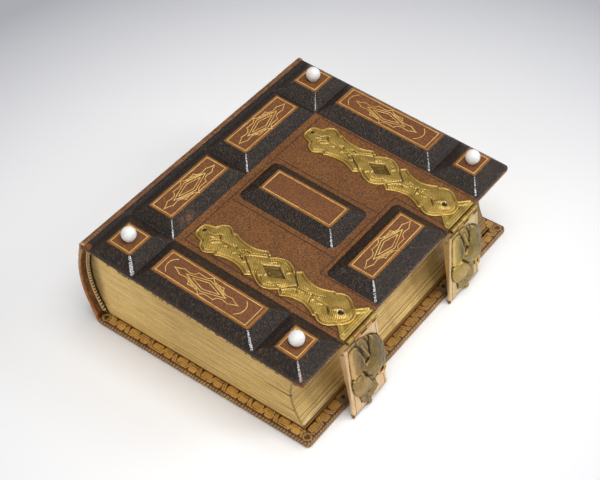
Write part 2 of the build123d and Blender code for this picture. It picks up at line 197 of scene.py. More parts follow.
# ------------------------------------------------------------------ node materials
class Mat:
    """A small builder for node materials."""

    def __init__(self, name):
        self.mat = bpy.data.materials.new(name)
        self.mat.use_nodes = True
        self.t = self.mat.node_tree
        self.t.nodes.clear()
        self.out = self.t.nodes.new("ShaderNodeOutputMaterial")
        self.bsdf = self.t.nodes.new("ShaderNodeBsdfPrincipled")
        self.t.links.new(self.bsdf.outputs[0], self.out.inputs[0])

    def node(self, kind, **props):
        n = self.t.nodes.new(kind)
        for k, v in props.items():
            setattr(n, k, v)
        return n

    def put(self, sock, val):
        if hasattr(val, "is_output") or isinstance(val, bpy.types.NodeSocket):
            self.t.links.new(val, sock)
        elif val is not None:
            if isinstance(val, (tuple, list)) and len(val) == 3 and sock.type == "RGBA":
                val = (*val, 1)
            sock.default_value = val

    def math(self, op, a, b=None, c=None, clamp=False):
        n = self.node("ShaderNodeMath", operation=op, use_clamp=clamp)
        self.put(n.inputs[0], a)
        if b is not None:
            self.put(n.inputs[1], b)
        if c is not None:
            self.put(n.inputs[2], c)
        return n.outputs[0]

    def add(self, a, b):
        return self.math("ADD", a, b)

    def mul(self, a, b):
        return self.math("MULTIPLY", a, b)

    def sub(self, a, b):
        return self.math("SUBTRACT", a, b)

    def mix(self, fac, a, b, blend="MIX"):
        n = self.node("ShaderNodeMix", data_type="RGBA", blend_type=blend)
        n.clamp_factor = True
        self.put(n.inputs[0], fac)
        self.put(n.inputs[6], a)
        self.put(n.inputs[7], b)
        return n.outputs[2]

    def mixf(self, fac, a, b):
        n = self.node("ShaderNodeMix", data_type="FLOAT")
        n.clamp_factor = True
        self.put(n.inputs[0], fac)
        self.put(n.inputs[2], a)
        self.put(n.inputs[3], b)
        return n.outputs[0]

    def attr(self, name, out="Fac"):
        n = self.node("ShaderNodeAttribute", attribute_name=name)
        return n.outputs[out]

    def sep(self, vec):
        n = self.node("ShaderNodeSeparateXYZ")
        self.put(n.inputs[0], vec)
        return n.outputs

    def comb(self, x, y, z):
        n = self.node("ShaderNodeCombineXYZ")
        for i, v in enumerate((x, y, z)):
            self.put(n.inputs[i], v)
        return n.outputs[0]

    def vmul(self, vec, s):
        n = self.node("ShaderNodeVectorMath", operation="MULTIPLY")
        self.put(n.inputs[0], vec)
        n.inputs[1].default_value = s if isinstance(s, (tuple, list)) else (s, s, s)
        return n.outputs[0]

    def vadd(self, a, b):
        n = self.node("ShaderNodeVectorMath", operation="ADD")
        self.put(n.inputs[0], a)
        self.put(n.inputs[1], b)
        return n.outputs[0]

    def obj_mm(self):
        """Object coordinates in millimetres."""
        if not hasattr(self, "_mm"):
            self._mm = self.vmul(self.node("ShaderNodeTexCoord").outputs["Object"], 1000.0)
        return self._mm

    def noise(self, vec, scale, detail=3.0, rough=0.55, dist=0.0, out=0):
        n = self.node("ShaderNodeTexNoise")
        self.put(n.inputs["Vector"], vec)
        n.inputs["Scale"].default_value = scale
        n.inputs["Detail"].default_value = detail
        n.inputs["Roughness"].default_value = rough
        n.inputs["Distortion"].default_value = dist
        return n.outputs[out]

    def voronoi(self, vec, scale, feature="F1", rand=1.0, out="Distance"):
        n = self.node("ShaderNodeTexVoronoi", feature=feature)
        self.put(n.inputs["Vector"], vec)
        n.inputs["Scale"].default_value = scale
        n.inputs["Randomness"].default_value = rand
        return n.outputs[out]

    def step(self, v, lo, hi, a=0.0, b=1.0):
        n = self.node("ShaderNodeMapRange", interpolation_type="SMOOTHSTEP")
        self.put(n.inputs[0], v)
        for i, x in zip((1, 2, 3, 4), (lo, hi, a, b)):
            self.put(n.inputs[i], x)
        return n.outputs[0]

    def lin(self, v, lo, hi, a=0.0, b=1.0):
        n = self.node("ShaderNodeMapRange")
        n.clamp = True
        self.put(n.inputs[0], v)
        for i, x in zip((1, 2, 3, 4), (lo, hi, a, b)):
            self.put(n.inputs[i], x)
        return n.outputs[0]

    def bump(self, height, strength=1.0, dist_mm=0.1, normal=None):
        n = self.node("ShaderNodeBump")
        n.inputs["Strength"].default_value = strength
        n.inputs["Distance"].default_value = dist_mm * 0.001
        self.put(n.inputs["Height"], height)
        if normal is not None:
            self.put(n.inputs["Normal"], normal)
        return n.outputs[0]

    def set(self, **kw):
        names = {"color": "Base Color", "rough": "Roughness", "metal": "Metallic", "normal": "Normal", "coat": "Coat Weight", "coat_rough": "Coat Roughness",
                 "spec": "Specular IOR Level", "sheen": "Sheen Weight", "sheen_rough": "Sheen Roughness", "ior": "IOR", "sss": "Subsurface Weight", "sss_scale": "Subsurface Scale"}
        for k, v in kw.items():
            self.put(self.bsdf.inputs[names[k]], v)
        return self.mat


def srgb(r, g, b):
    f = lambda c: (c / 255 / 12.92) if c / 255 <= 0.04045 else ((c / 255 + 0.055) / 1.055) ** 2.4
    return (f(r), f(g), f(b), 1.0)


# ---- leather: brown grounds and panel tops, blackened bevels, blind lines, scuffs
RECTS = [p for p in PANELS.values()]
# blind tooled lines in cover coordinates: (vertical?, position, from, to)
BLIND = [(True, 35.4, -50.4, 52.4), (False, -50.4, 35.4, 126.0), (False, 52.4, 35.4, 126.0),
         (False, -17.4, 35.4, 95.8), (False, 17.1, 35.4, 95.8), (True, 95.8, -28.3, 30.2), (False, -28.3, 95.8, 126.5), (False, 30.2, 95.8, 126.5)]


def leather_grain(m, mm, size=0.75, directional=None):
    """Height of a pebbled grain, with fine wrinkles."""
    v = mm if directional is None else m.vmul(mm, directional)
    warp = m.noise(v, 0.9, 2.0, out=1)
    w = m.vadd(v, m.vmul(m.vadd(warp, (-0.5, -0.5, -0.5)), 0.5))
    cells = m.voronoi(w, 1.0 / size, "SMOOTH_F1")
    fine = m.noise(v, 3.2, 3.0, 0.6)
    pebble = m.math("MULTIPLY_ADD", cells, -1.0, 1.0)
    return m.add(m.mul(pebble, 0.75), m.mul(fine, 0.5)), cells, fine


def leather_material(name, panels=False, m_bump=0.2):
    m = Mat(name)
    mm = m.obj_mm()
    grain, cells, fine = leather_grain(m, mm, 0.72)
    blotch = m.noise(mm, 0.045, 4.0, 0.6)
    mid = m.noise(mm, 0.22, 3.0, 0.6)
    speck = m.noise(mm, 2.3, 3.0, 0.7)
    brown = m.mix(m.step(blotch, 0.35, 0.68), srgb(112, 67, 24), srgb(131, 82, 33))
    brown = m.mix(m.mul(m.step(mid, 0.42, 0.72), 0.6), brown, srgb(114, 69, 25))
    # the grain's hollows are darker, its tops rubbed lighter
    brown = m.mix(m.mul(m.step(cells, 0.26, 0.58), 0.8), brown, srgb(70, 40, 15))
    brown = m.mix(m.mul(m.step(speck, 0.50, 0.70), 0.45), brown, srgb(172, 118, 60))
    brown = m.mix(m.mul(m.step(speck, 0.50, 0.34), 0.38), brown, srgb(84, 46, 20))
    rough = m.mixf(m.step(mid, 0.3, 0.7), 0.5, 0.64)
    height = grain
    col = brown
    if panels:
        sd_top = m.attr("sd_top")      # mm inside a panel's top, negative outside
        sd_foot = m.attr("sd_foot")    # mm inside a panel's foot
        mitre = m.attr("mitre")        # mm from the nearest corner ridge that shows wear and a painted highlight, scaled
        edge_out = m.attr("edge_in")   # mm in from the board's outline
        cv = m.sep(m.attr("cv", "Vector"))
        wob = m.mul(m.sub(m.noise(mm, 0.55, 2.0), 0.5), 0.5)
        black_in = m.step(m.add(sd_foot, wob), -0.25, 0.15)
        top_in = m.step(m.add(sd_top, m.mul(wob, 0.5)), -0.12, 0.12)
        # the flat strip by the spine is blackened too, up to the leather that wraps the edge
        strip_in = m.mul(m.step(m.add(cv[0], m.mul(wob, 1.2)), 1.5, 2.1), m.step(cv[0], 6.2, 5.4))
        black_in = m.math("MAXIMUM", black_in, strip_in)
        bare = m.mul(m.step(m.add(cv[1], m.mul(wob, 2.0)), -78.6, -79.6), m.step(m.add(cv[0], m.mul(wob, 2.0)), 6.4, 5.2))
        black_in = m.mul(black_in, m.sub(1.0, m.mul(bare, 0.85)))
        black = m.mul(black_in, m.sub(1.0, top_in))
        # the stained grain is drawn out along each slope
        fac = m.attr("fore_face")
        ga = m.noise(m.vmul(mm, (1.9, 0.62, 1.0)), 0.95, 3.0, 0.68)
        gb = m.noise(m.vmul(mm, (0.62, 1.9, 1.0)), 0.95, 3.0, 0.68)
        slope_grain = m.mixf(fac, ga, gb)
        dark = m.mix(m.step(mid, 0.35, 0.7), srgb(39, 26, 16), srgb(52, 36, 22))
        dark = m.mix(m.mul(m.step(slope_grain, 0.52, 0.40), 0.95), dark, srgb(9, 7, 6))
        dark = m.mix(m.mul(m.step(slope_grain, 0.53, 0.66), 0.7), dark, srgb(104, 86, 68))
        dark = m.mix(m.mul(m.step(cells, 0.3, 0.6), 0.5), dark, srgb(20, 15, 12))
        # painted shade: the foot of each bevel, in the crease where it meets the ground, is darkened to near black
        dark = m.mix(m.mul(m.step(sd_foot, 1.9, 0.3), 0.55), dark, srgb(22, 18, 17))
        # the inlaid top: a tan margin outside the gilt frame, redder leather inside
        margin = m.mul(top_in, m.step(sd_top, 1.30, 0.80))
        field = m.mul(top_in, m.step(sd_top, 0.95, 1.35))
        col = m.mix(m.mul(field, 0.35), col, srgb(112, 62, 34))
        col = m.mix(m.mul(margin, 0.75), col, m.mix(m.step(mid, 0.35, 0.65), srgb(160, 104, 40), srgb(132, 78, 30)))
        rim = m.mul(m.step(sd_top, -0.42, -0.05), m.step(sd_top, 0.45, 0.05))
        col = m.mix(black, col, dark)
        col = m.mix(m.mul(rim, m.step(m.noise(mm, 0.8, 2.0), 0.35, 0.6, 0.2, 0.75)), col, srgb(150, 92, 34))
        height = m.mixf(black, m.mul(grain, 0.8), m.add(m.mul(slope_grain, 3.0), m.mul(grain, 0.9)))
        # blind lines pressed into the ground
        lines = None
        for vert, pos, a0, a1 in BLIND:
            u, v = (cv[0], cv[1]) if vert else (cv[1], cv[0])
            d = m.math("ABSOLUTE", m.sub(u, pos))
            one = m.mul(m.mul(m.step(d, 0.38, 0.14), m.step(v, a0 - 0.2, a0 + 0.2)), m.step(v, a1 + 0.2, a1 - 0.2))
            lines = one if lines is None else m.math("MAXIMUM", lines, one)
        flat = m.sub(1.0, m.math("MAXIMUM", black_in, top_in))
        lines = m.mul(m.mul(lines, flat), m.step(m.noise(mm, 0.3, 2.0), 0.28, 0.5, 0.45, 1.0))
        col = m.mix(m.mul(lines, 0.7), col, srgb(58, 32, 18))
        height = m.sub(height, m.mul(lines, 1.6))
        # worn corner ridges: pale cracked polish, partly wear and partly a painted highlight where the ridges would
        # catch the overhead light, edged darker
        wn = m.noise(mm, 1.5, 4.0, 0.8)
        worn = m.mul(m.step(m.add(mitre, m.mul(m.sub(wn, 0.5), 1.3)), 0.60, 0.36), m.step(m.noise(m.vmul(mm, (1.0, 1.0, 2.2)), 1.5, 3.0, 0.75), 0.45, 0.52))
        col = m.mix(m.mul(m.mul(m.step(mitre, 1.7, 0.9), black), 0.7), col, srgb(16, 12, 11))
        worn = m.mul(worn, black)
        col = m.mix(m.mul(worn, 0.95), col, srgb(226, 222, 224))
        # scuffs, brown where the black has gone
        scuff = m.mul(m.attr("scuff"), m.step(m.noise(m.vmul(mm, (0.5, 1.2, 1.0)), 0.6, 4.0, 0.75), 0.42, 0.56))
        col = m.mix(m.mul(m.mul(scuff, black_in), 0.8), col, srgb(124, 82, 50))
        # wear along the board's outline
        ew = m.mul(m.mul(m.step(edge_out, 0.8, 0.1), m.step(m.noise(mm, 0.75, 3.0, 0.7), 0.42, 0.6)), m.step(cv[1], -81.0, -79.5, 0.25, 1.0))
        col = m.mix(m.mul(ew, 0.55), col, srgb(128, 84, 46))
        # rubbed to orange-brown at the tail fore corner
        crn = m.mul(m.step(cv[0], 121.5, 125.5), m.step(cv[1], -76.0, -80.5))
        col = m.mix(m.mul(m.mul(crn, m.step(m.noise(mm, 0.9, 3.0), 0.45, 0.62)), 0.55), col, srgb(124, 72, 34))
        rough = m.mixf(black, rough, m.mixf(m.step(fine, 0.35, 0.65), 0.42, 0.30))
        rough = m.mixf(worn, rough, 0.3)
        n1 = m.bump(height, 1.0, m_bump)
        return m.set(color=col, rough=rough, normal=n1, spec=0.36)
    col = m.mix(m.mul(m.attr("pressed"), 0.75), col, srgb(52, 30, 18))
    n1 = m.bump(height, 1.0, 0.16)
    return m.set(color=col, rough=rough, normal=n1, spec=0.2)


def spine_material():
    """The spine's leather, darkened by handling; its bands paler, as rubbed wear and painted highlight, with painted
    shade beside them, and its ends painted paler as painted light.
    """
    m = Mat("leather_spine")
    mm = m.obj_mm()
    x, y, z = m.sep(mm)
    grain, cells, fine = leather_grain(m, mm, 0.85)
    blotch = m.noise(mm, 0.05, 4.0, 0.6)
    mid = m.noise(mm, 0.25, 3.0, 0.6)
    col = m.mix(m.step(blotch, 0.35, 0.68), srgb(116, 76, 44), srgb(142, 98, 60))
    col = m.mix(m.mul(m.step(mid, 0.42, 0.72), 0.6), col, srgb(88, 52, 28))
    col = m.mix(m.mul(m.step(cells, 0.28, 0.6), 0.6), col, srgb(62, 36, 20))
    r = m.attr("relief")
    # paler on the raised bands, as rubbed wear and a painted highlight; painted shade in the grooves at the bands' feet
    col = m.mix(m.mul(m.step(r, 0.6, 1.0), m.step(mid, 0.3, 0.6, 0.35, 0.75)), col, srgb(158, 106, 60))
    col = m.mix(m.mul(m.step(r, 0.42, 0.1), 0.8), col, srgb(46, 27, 16))
    end = m.step(m.math("ABSOLUTE", y), 80.0, 81.4)
    # painted light: the end faces are painted paler than the spine's leather where they face away from the lamps;
    # greyer at the top of the cap, redder towards the bottom
    cap = m.mix(m.step(z, 10.0, 46.0), srgb(190, 118, 66), srgb(208, 168, 124))
    cap = m.mix(m.mul(m.step(mid, 0.4, 0.7), 0.5), cap, srgb(98, 70, 48))
    col = m.mix(m.mul(end, 0.9), col, cap)
    return m.set(color=col, rough=m.mixf(m.step(mid, 0.3, 0.7), 0.46, 0.62), normal=m.bump(m.mul(grain, m.mixf(end, 1.0, 0.35)), 1.0, 0.14), spec=0.28)


M_COVER = leather_material("leather_panelled", True)
M_LEATHER = leather_material("leather_plain")


def edge_material():
    """The front board's edges: blackened leather, rubbed to brown and tan where hands wear it."""
    m = Mat("board_edge_worn")
    mm = m.obj_mm()
    cv = m.sep(m.attr("cv", "Vector"))
    n = m.noise(mm, 0.9, 4.0, 0.7)
    n2 = m.noise(m.vmul(mm, (0.6, 0.6, 2.5)), 0.35, 3.0, 0.6)
    fore = m.step(cv[0], 125.9, 126.6)
    low = m.step(m.add(cv[2], m.mul(m.sub(n, 0.5), 2.4)), -1.5, -2.3)
    s2 = m.math("ABSOLUTE", m.sub(m.math("FRACT", m.mul(m.add(m.add(cv[0], m.mul(n, 0.7)), m.mul(cv[2], 0.6)), 0.66)), 0.5))
    low = m.mul(low, m.step(s2, 0.36, 0.20, 0.12, 1.0))
    col = m.mix(m.step(n2, 0.4, 0.65), srgb(44, 31, 24), srgb(66, 46, 32))
    tan = m.mix(m.step(n, 0.4, 0.62), srgb(120, 82, 40), srgb(186, 146, 84))
    col = m.mix(m.mul(low, m.step(n2, 0.36, 0.5, 0.3, 1.0)), col, tan)
    # the fore-edge keeps a roll of slanted gilt dashes, mostly rubbed away
    s = m.math("ABSOLUTE", m.sub(m.math("FRACT", m.mul(m.add(cv[1], m.mul(cv[2], 0.6)), 0.72)), 0.5))
    dash = m.mul(m.step(s, 0.30, 0.18), m.step(n2, 0.36, 0.52))
    worn = m.mix(dash, srgb(88, 60, 38), srgb(190, 156, 106))
    rope = m.mul(m.step(m.add(cv[2], m.mul(m.sub(n, 0.5), 0.8)), -0.9, -1.3), m.step(cv[2], -2.7, -2.3))
    col = m.mix(fore, col, m.mix(rope, m.mix(m.step(n2, 0.4, 0.6), srgb(52, 36, 26), srgb(84, 52, 32)), worn))
    crn = m.mul(m.step(cv[0], 121.5, 125.5), m.step(cv[1], -78.0, -81.0))
    col = m.mix(m.mul(crn, 0.6), col, srgb(146, 84, 42))
    spine_end = m.step(cv[0], 3.2, 2.2)
    col = m.mix(spine_end, col, srgb(112, 70, 36))
    return m.set(color=col, rough=m.mixf(n, 0.45, 0.65), spec=0.25, normal=m.bump(m.add(n, dash), 0.9, 0.12))


M_EDGE = edge_material()


def gilt_line_material():
    m = Mat("gilt_line")
    mm = m.obj_mm()
    n = m.noise(mm, 0.9, 3.0, 0.7)
    n2 = m.noise(mm, 0.12, 2.0, 0.5)
    worn = m.step(m.add(n, m.mul(n2, 0.35)), 0.98, 0.80)
    col = m.mix(worn, srgb(160, 108, 50), m.mix(m.step(n2, 0.3, 0.7), srgb(194, 150, 74), srgb(224, 188, 112)))
    return m.set(color=col, rough=m.mixf(worn, 0.55, 0.45), metal=0.15, normal=m.bump(n, 0.5, 0.03))


M_GILT = gilt_line_material()


def stud_material():
    m = Mat("stud_white")
    mm = m.obj_mm()
    n = m.noise(mm, 0.35, 3.0, 0.6)
    fine = m.noise(mm, 2.4, 3.0, 0.6)
    col = m.mix(m.step(n, 0.35, 0.75), (0.83, 0.825, 0.80, 1), (0.72, 0.705, 0.665, 1))
    col = m.mix(m.mul(m.step(fine, 0.58, 0.72), 0.22), col, (0.5, 0.46, 0.40, 1))
    return m.set(color=col, rough=m.mixf(fine, 0.3, 0.5), spec=0.5, coat=0.15, coat_rough=0.3, sss=0.1, sss_scale=0.002, normal=m.bump(fine, 0.25, 0.03))


M_STUD = stud_material()


def pages_material():
    """Gilt leaf edges. pg = (mm along the edge, leaf coordinate, leaf's own number)."""
    m = Mat("page_edges")
    mm = m.obj_mm()
    pg = m.sep(m.attr("pg", "Vector"))
    along = m.comb(m.mul(pg[0], 0.05), m.mul(pg[1], 2.2), pg[2])
    streak = m.noise(along, 1.0, 3.0, 0.6)
    along2 = m.comb(m.mul(pg[0], 0.6), m.mul(pg[1], 5.0), m.mul(pg[2], 3.0))
    streak2 = m.noise(along2, 1.0, 4.0, 0.65)
    fine = m.noise(mm, 1.7, 3.0, 0.65)
    blotch = m.noise(mm, 0.06, 3.0, 0.55)
    gap = m.attr("gap")
    fore = m.mul(m.step(pg[0], 150.0, 160.0), m.step(pg[2], 180.0, 170.0))
    col = m.mix(m.step(streak, 0.32, 0.68), srgb(228, 186, 106), srgb(253, 224, 148))
    col = m.mix(m.mul(m.step(streak2, 0.48, 0.7), 0.5), col, srgb(182, 140, 80))
    line = m.noise(m.comb(m.mul(pg[0], 0.035), m.mul(pg[1], 1.5), m.mul(pg[2], 0.3)), 2.6, 3.0, 0.75)
    col = m.mix(m.mul(m.step(line, 0.56, 0.66), m.step(fine, 0.35, 0.6, 0.25, 0.7)), col, srgb(120, 84, 40))
    col = m.mix(m.mul(m.step(blotch, 0.45, 0.72), 0.18), col, srgb(186, 146, 80))
    col = m.mix(m.mul(m.step(fine, 0.58, 0.75), 0.35), col, srgb(244, 222, 172))
    # each thick leaf is two sheets: a finer line halfway
    mid_l = m.math("ABSOLUTE", m.sub(m.math("FRACT", pg[1]), 0.5))
    mid_l = m.mul(m.mul(m.step(mid_l, 0.16, 0.04), m.sub(1.0, m.mul(fore, 0.75))), m.step(m.noise(m.comb(m.mul(pg[0], 0.06), pg[1], 5.0), 1.0, 3.0, 0.6), 0.35, 0.6, 0.25, 1.0))
    col = m.mix(m.mul(mid_l, 0.48), col, srgb(128, 90, 44))
    # painted reflection and shade: broad darker bands down the gilt fore-edge
    band = m.noise(m.comb(m.mul(pg[0], 0.055), m.mul(pg[1], 0.01), 3.0), 1.0, 2.0, 0.5)
    col = m.mix(m.mul(m.mul(fore, m.step(band, 0.46, 0.64)), 0.6), col, srgb(128, 90, 44))
    # painted shadow of the head clasp darkens the fore-edge near it, and two white leaves' edges by the tail corner
    ox, oy, oz = m.sep(mm)
    col = m.mix(m.mul(m.mul(fore, m.step(oy, 22.0, 52.0)), 0.42), col, srgb(112, 80, 40))
    wl1 = m.math("ABSOLUTE", m.sub(oz, m.add(5.15, m.mul(m.add(oy, 80.0), 0.014))))
    wl1 = m.mul(m.step(wl1, 0.17, 0.07), m.step(oy, -36.0, -44.0))
    wl2 = m.math("ABSOLUTE", m.sub(oz, m.add(4.45, m.mul(m.add(oy, 80.0), 0.05))))
    wl2 = m.mul(m.step(wl2, 0.14, 0.06), m.step(oy, -66.0, -72.0))
    wl = m.mul(m.mul(fore, m.math("MAXIMUM", wl1, wl2)), m.step(m.noise(mm, 0.25, 2.0), 0.3, 0.45, 0.35, 1.0))
    # painted shade next to the spine, by the headband
    spine_shade = m.mul(m.step(pg[0], -59.0, -64.5), m.step(pg[0], 140.0, 130.0))
    col = m.mix(m.mul(spine_shade, 0.72), col, srgb(92, 66, 38))
    col = m.mix(m.mul(gap, m.mixf(fore, 0.95, 0.9)), col, srgb(92, 60, 28))
    corner = m.attr("corner")
    col = m.mix(m.mul(corner, m.step(fine, 0.3, 0.55)), col, srgb(104, 76, 46))
    col = m.mix(m.mul(wl, 0.9), col, srgb(242, 232, 206))
    return m.set(color=col, rough=m.mixf(streak2, 0.38, 0.6), metal=m.mixf(gap, 0.18, 0.0), spec=0.35, normal=m.bump(m.add(streak2, m.mul(fine, 0.4)), 0.6, 0.06))


M_PAGES = pages_material()


def paper_material():
    m = Mat("endpaper")
    mm = m.obj_mm()
    n = m.noise(mm, 0.05, 4.0, 0.6)
    f = m.noise(mm, 2.2, 4.0, 0.7)
    col = m.mix(m.step(n, 0.3, 0.8), srgb(226, 216, 192), srgb(214, 201, 172))
    col = m.mix(m.mul(m.step(f, 0.6, 0.75), 0.3), col, srgb(178, 150, 108))
    return m.set(color=col, rough=0.85, spec=0.25, normal=m.bump(f, 0.3, 0.03))


M_PAPER = paper_material()


def fly_material():
    """The outermost leaves: paper with gilt that has strayed on to its margins, white only at the very edge."""
    m = Mat("flyleaf_paper")
    mm = m.obj_mm()
    x, y, z = m.sep(mm)
    n = m.noise(mm, 0.05, 4.0, 0.6)
    f = m.noise(mm, 2.2, 4.0, 0.7)
    col = m.mix(m.step(n, 0.3, 0.8), srgb(224, 211, 182), srgb(212, 197, 164))
    margin = m.math("MAXIMUM", m.step(x, 46.0, 50.0), m.step(m.math("ABSOLUTE", y), 70.0, 74.0))
    col = m.mix(m.mul(margin, m.step(f, 0.2, 0.4, 0.7, 1.0)), col, srgb(132, 92, 44))
    col = m.mix(m.mul(m.step(x, 54.0, 55.5), m.step(f, 0.3, 0.5, 0.75, 1.0)), col, srgb(140, 100, 50))
    return m.set(color=col, rough=0.8, spec=0.25, normal=m.bump(f, 0.3, 0.03))


M_FLY = fly_material()


def roll_material():
    """Brown leather with a gilt roll pressed into it. gold = 1 on the gilt, 0 in the lines."""
    m = Mat("gilt_roll")
    mm = m.obj_mm()
    g = m.attr("gold")
    n = m.noise(mm, 1.1, 3.0, 0.65)
    n2 = m.noise(mm, 0.15, 3.0, 0.6)
    fine = m.noise(mm, 3.0, 3.0, 0.6)
    gold = m.mix(m.step(n2, 0.35, 0.7), srgb(214, 166, 82), srgb(176, 128, 56))
    gold = m.mix(m.mul(m.step(fine, 0.48, 0.66), 0.62), gold, srgb(244, 212, 138))
    gold = m.mix(m.mul(m.step(fine, 0.46, 0.34), 0.45), gold, srgb(128, 86, 40))
    brown = m.mix(m.step(n2, 0.4, 0.7), srgb(84, 46, 24), srgb(60, 33, 18))
    # darker and browner down the fore-edge; on the board's own edge, painted shade darkens and browns the gilt
    x, y, z = m.sep(mm)
    dull = m.math("MAXIMUM", m.mul(m.step(x, 56.6, 57.6), 0.45), m.mul(m.math("MAXIMUM", m.step(m.math("ABSOLUTE", y), 81.2, 81.5), m.step(x, 63.0, 63.3)), 0.62))
    gold = m.mix(m.mul(dull, m.step(n2, 0.3, 0.5, 0.7, 1.0)), gold, srgb(120, 84, 42))
    mask = m.step(m.add(g, m.mul(m.sub(n, 0.5), 0.5)), 0.34, 0.58)
    col = m.mix(mask, brown, gold)
    return m.set(color=col, rough=m.mixf(mask, 0.6, 0.42), metal=m.mul(mask, 0.28), normal=m.bump(m.add(m.mul(mask, 0.6), m.mul(fine, 0.4)), 0.6, 0.08))


M_ROLL = roll_material()


def brass_material(name, light, mid_c, dark_c, rough_lo=0.3, rough_hi=0.5, tarnish=0.5, hatch=True, metal=0.85):
    """Pressed brass. relief: 0 in the hollows to 1 on the ridges. hx = hatch coordinate, mm."""
    m = Mat(name)
    mm = m.obj_mm()
    n = m.noise(mm, 0.16, 4.0, 0.6)
    f = m.noise(mm, 1.4, 4.0, 0.65)
    ff = m.noise(mm, 4.5, 3.0, 0.6)
    r = m.attr("relief")
    col = m.mix(m.step(n, 0.35, 0.68), light, mid_c)
    col = m.mix(m.mul(m.step(f, 0.5, 0.72), tarnish), col, dark_c)
    col = m.mix(m.mul(m.step(r, 0.40, 0.05), 0.85), col, dark_c)
    col = m.mix(m.mul(m.step(r, 0.60, 0.95), 0.6), col, m.mix(0.5, light, (1.0, 0.93, 0.72, 1)))
    h = m.add(m.mul(f, 0.5), m.mul(ff, 0.35))
    if hatch:
        hx = m.attr("hatch")
        line = m.math("ABSOLUTE", m.math("SINE", hx))
        on = m.attr("hatch_on")
        h = m.add(h, m.mul(m.mul(line, on), 2.6))
        col = m.mix(m.mul(m.mul(m.step(line, 0.62, 0.12), on), 0.5), col, dark_c)
    rough = m.mixf(m.step(f, 0.3, 0.7), rough_lo, rough_hi)
    return m.set(color=col, rough=rough, metal=metal, normal=m.bump(h, 0.6, 0.06))


M_STRAP = brass_material("strap_brass", srgb(206, 172, 90), srgb(172, 140, 66), srgb(88, 68, 32), 0.33, 0.5, 0.42)
M_HINGE = brass_material("hinge_plate_brass", srgb(190, 162, 86), srgb(152, 126, 60), srgb(80, 62, 30), 0.38, 0.55, 0.5, hatch=False)
M_PLATE = brass_material("clasp_plate_metal", srgb(216, 172, 114), srgb(184, 138, 84), srgb(104, 68, 36), 0.28, 0.45, 0.45, hatch=False)
M_PLATE_H = brass_material("clasp_plate_gilt", srgb(202, 168, 96), srgb(168, 134, 70), srgb(96, 70, 34), 0.28, 0.45, 0.45, hatch=False)
M_CATCH = brass_material("catch_metal", srgb(222, 212, 190), srgb(196, 184, 158), srgb(120, 106, 82), 0.34, 0.5, 0.3, hatch=False)


def ornament_material(name, pale, mid_c, dull, black_c):
    """Cast leaf-work, bright where it is rubbed and dull where it isn't, with painted shading across the cup. tone: 0
    dull to 1 pale; relief: low in the crevices.
    """
    m = Mat(name)
    mm = m.obj_mm()
    n = m.noise(mm, 0.22, 4.0, 0.6)
    f = m.noise(mm, 1.3, 4.0, 0.68)
    ff = m.noise(mm, 4.0, 3.0, 0.6)
    r = m.attr("relief")
    t = m.add(m.attr("tone"), m.mul(m.sub(n, 0.5), 0.5))
    col = m.mix(m.step(t, 0.05, 0.5), dull, mid_c)
    col = m.mix(m.step(t, 0.5, 0.95), col, pale)
    col = m.mix(m.mul(m.step(f, 0.5, 0.72), 0.4), col, dull)
    col = m.mix(m.step(m.add(r, m.mul(m.sub(f, 0.5), 0.2)), 0.46, 0.20), col, black_c)
    col = m.mix(m.mul(m.step(r, 0.60, 0.95), 0.6), col, pale)
    return m.set(color=col, rough=m.mixf(m.step(f, 0.3, 0.7), 0.34, 0.52), metal=0.7, normal=m.bump(m.add(m.mul(f, 0.6), m.mul(ff, 0.35)), 0.8, 0.08))


M_DARK = ornament_material("clasp_dark_brass", srgb(208, 166, 108), srgb(148, 122, 68), srgb(108, 94, 62), srgb(50, 27, 14))
M_DARK_H = ornament_material("clasp_leafwork_gilt", srgb(212, 182, 106), srgb(168, 142, 74), srgb(116, 100, 62), srgb(54, 36, 18))


def dark_metal():
    m = Mat("dark_nail")
    mm = m.obj_mm()
    f = m.noise(mm, 2.0, 4.0, 0.6)
    col = m.mix(m.step(f, 0.4, 0.65), srgb(70, 60, 50), srgb(40, 33, 28))
    return m.set(color=col, rough=m.mixf(f, 0.3, 0.55), metal=0.8, normal=m.bump(f, 0.5, 0.05))


M_NAIL = dark_metal()


def thread_material():
    """Worked headband: gold and dark threads by turns. bead = 0..1 along each turn."""
    m = Mat("headband_thread")
    mm = m.obj_mm()
    b = m.attr("bead")
    f = m.noise(mm, 3.0, 3.0, 0.6)
    k = m.step(m.math("SINE", b), -0.15, 0.25)
    col = m.mix(k, srgb(58, 40, 24), srgb(214, 180, 116))
    col = m.mix(m.mul(m.step(f, 0.55, 0.72), 0.3), col, srgb(120, 90, 54))
    return m.set(color=col, rough=0.7, sheen=0.2, normal=m.bump(f, 0.5, 0.06))


M_THREAD = thread_material()


# ------------------------------------------------------------------ shapes in the plane
def sd_rect(x, y, r):
    """Distance inside a rectangle (x0, x1, y0, y1), negative outside."""
    return np.minimum(np.minimum(x - r[0], r[1] - x), np.minimum(y - r[2], r[3] - y))


def sd_round(x, y, r, rad):
    """Distance inside a rectangle with rounded corners."""
    cx, cy, hx, hy = (r[0] + r[1]) / 2, (r[2] + r[3]) / 2, (r[1] - r[0]) / 2 - rad, (r[3] - r[2]) / 2 - rad
    dx, dy = np.abs(x - cx) - hx, np.abs(y - cy) - hy
    return rad - (np.hypot(np.maximum(dx, 0), np.maximum(dy, 0)) + np.minimum(np.maximum(dx, dy), 0))


def smin(a, b, k):
    h = np.clip(0.5 + 0.5 * (b - a) / k, 0, 1)
    return b * (1 - h) + a * h - k * h * (1 - h)


def soft_clip(s, lo=0.07, hi=0.075):
    """0..1 with rounded ends."""
    a = np.where(s < -lo, 0, np.where(s < lo, (s + lo) ** 2 / (4 * lo), s))
    b = 1 - a
    return 1 - np.where(b < -hi, 0, np.where(b < hi, (b + hi) ** 2 / (4 * hi), b))


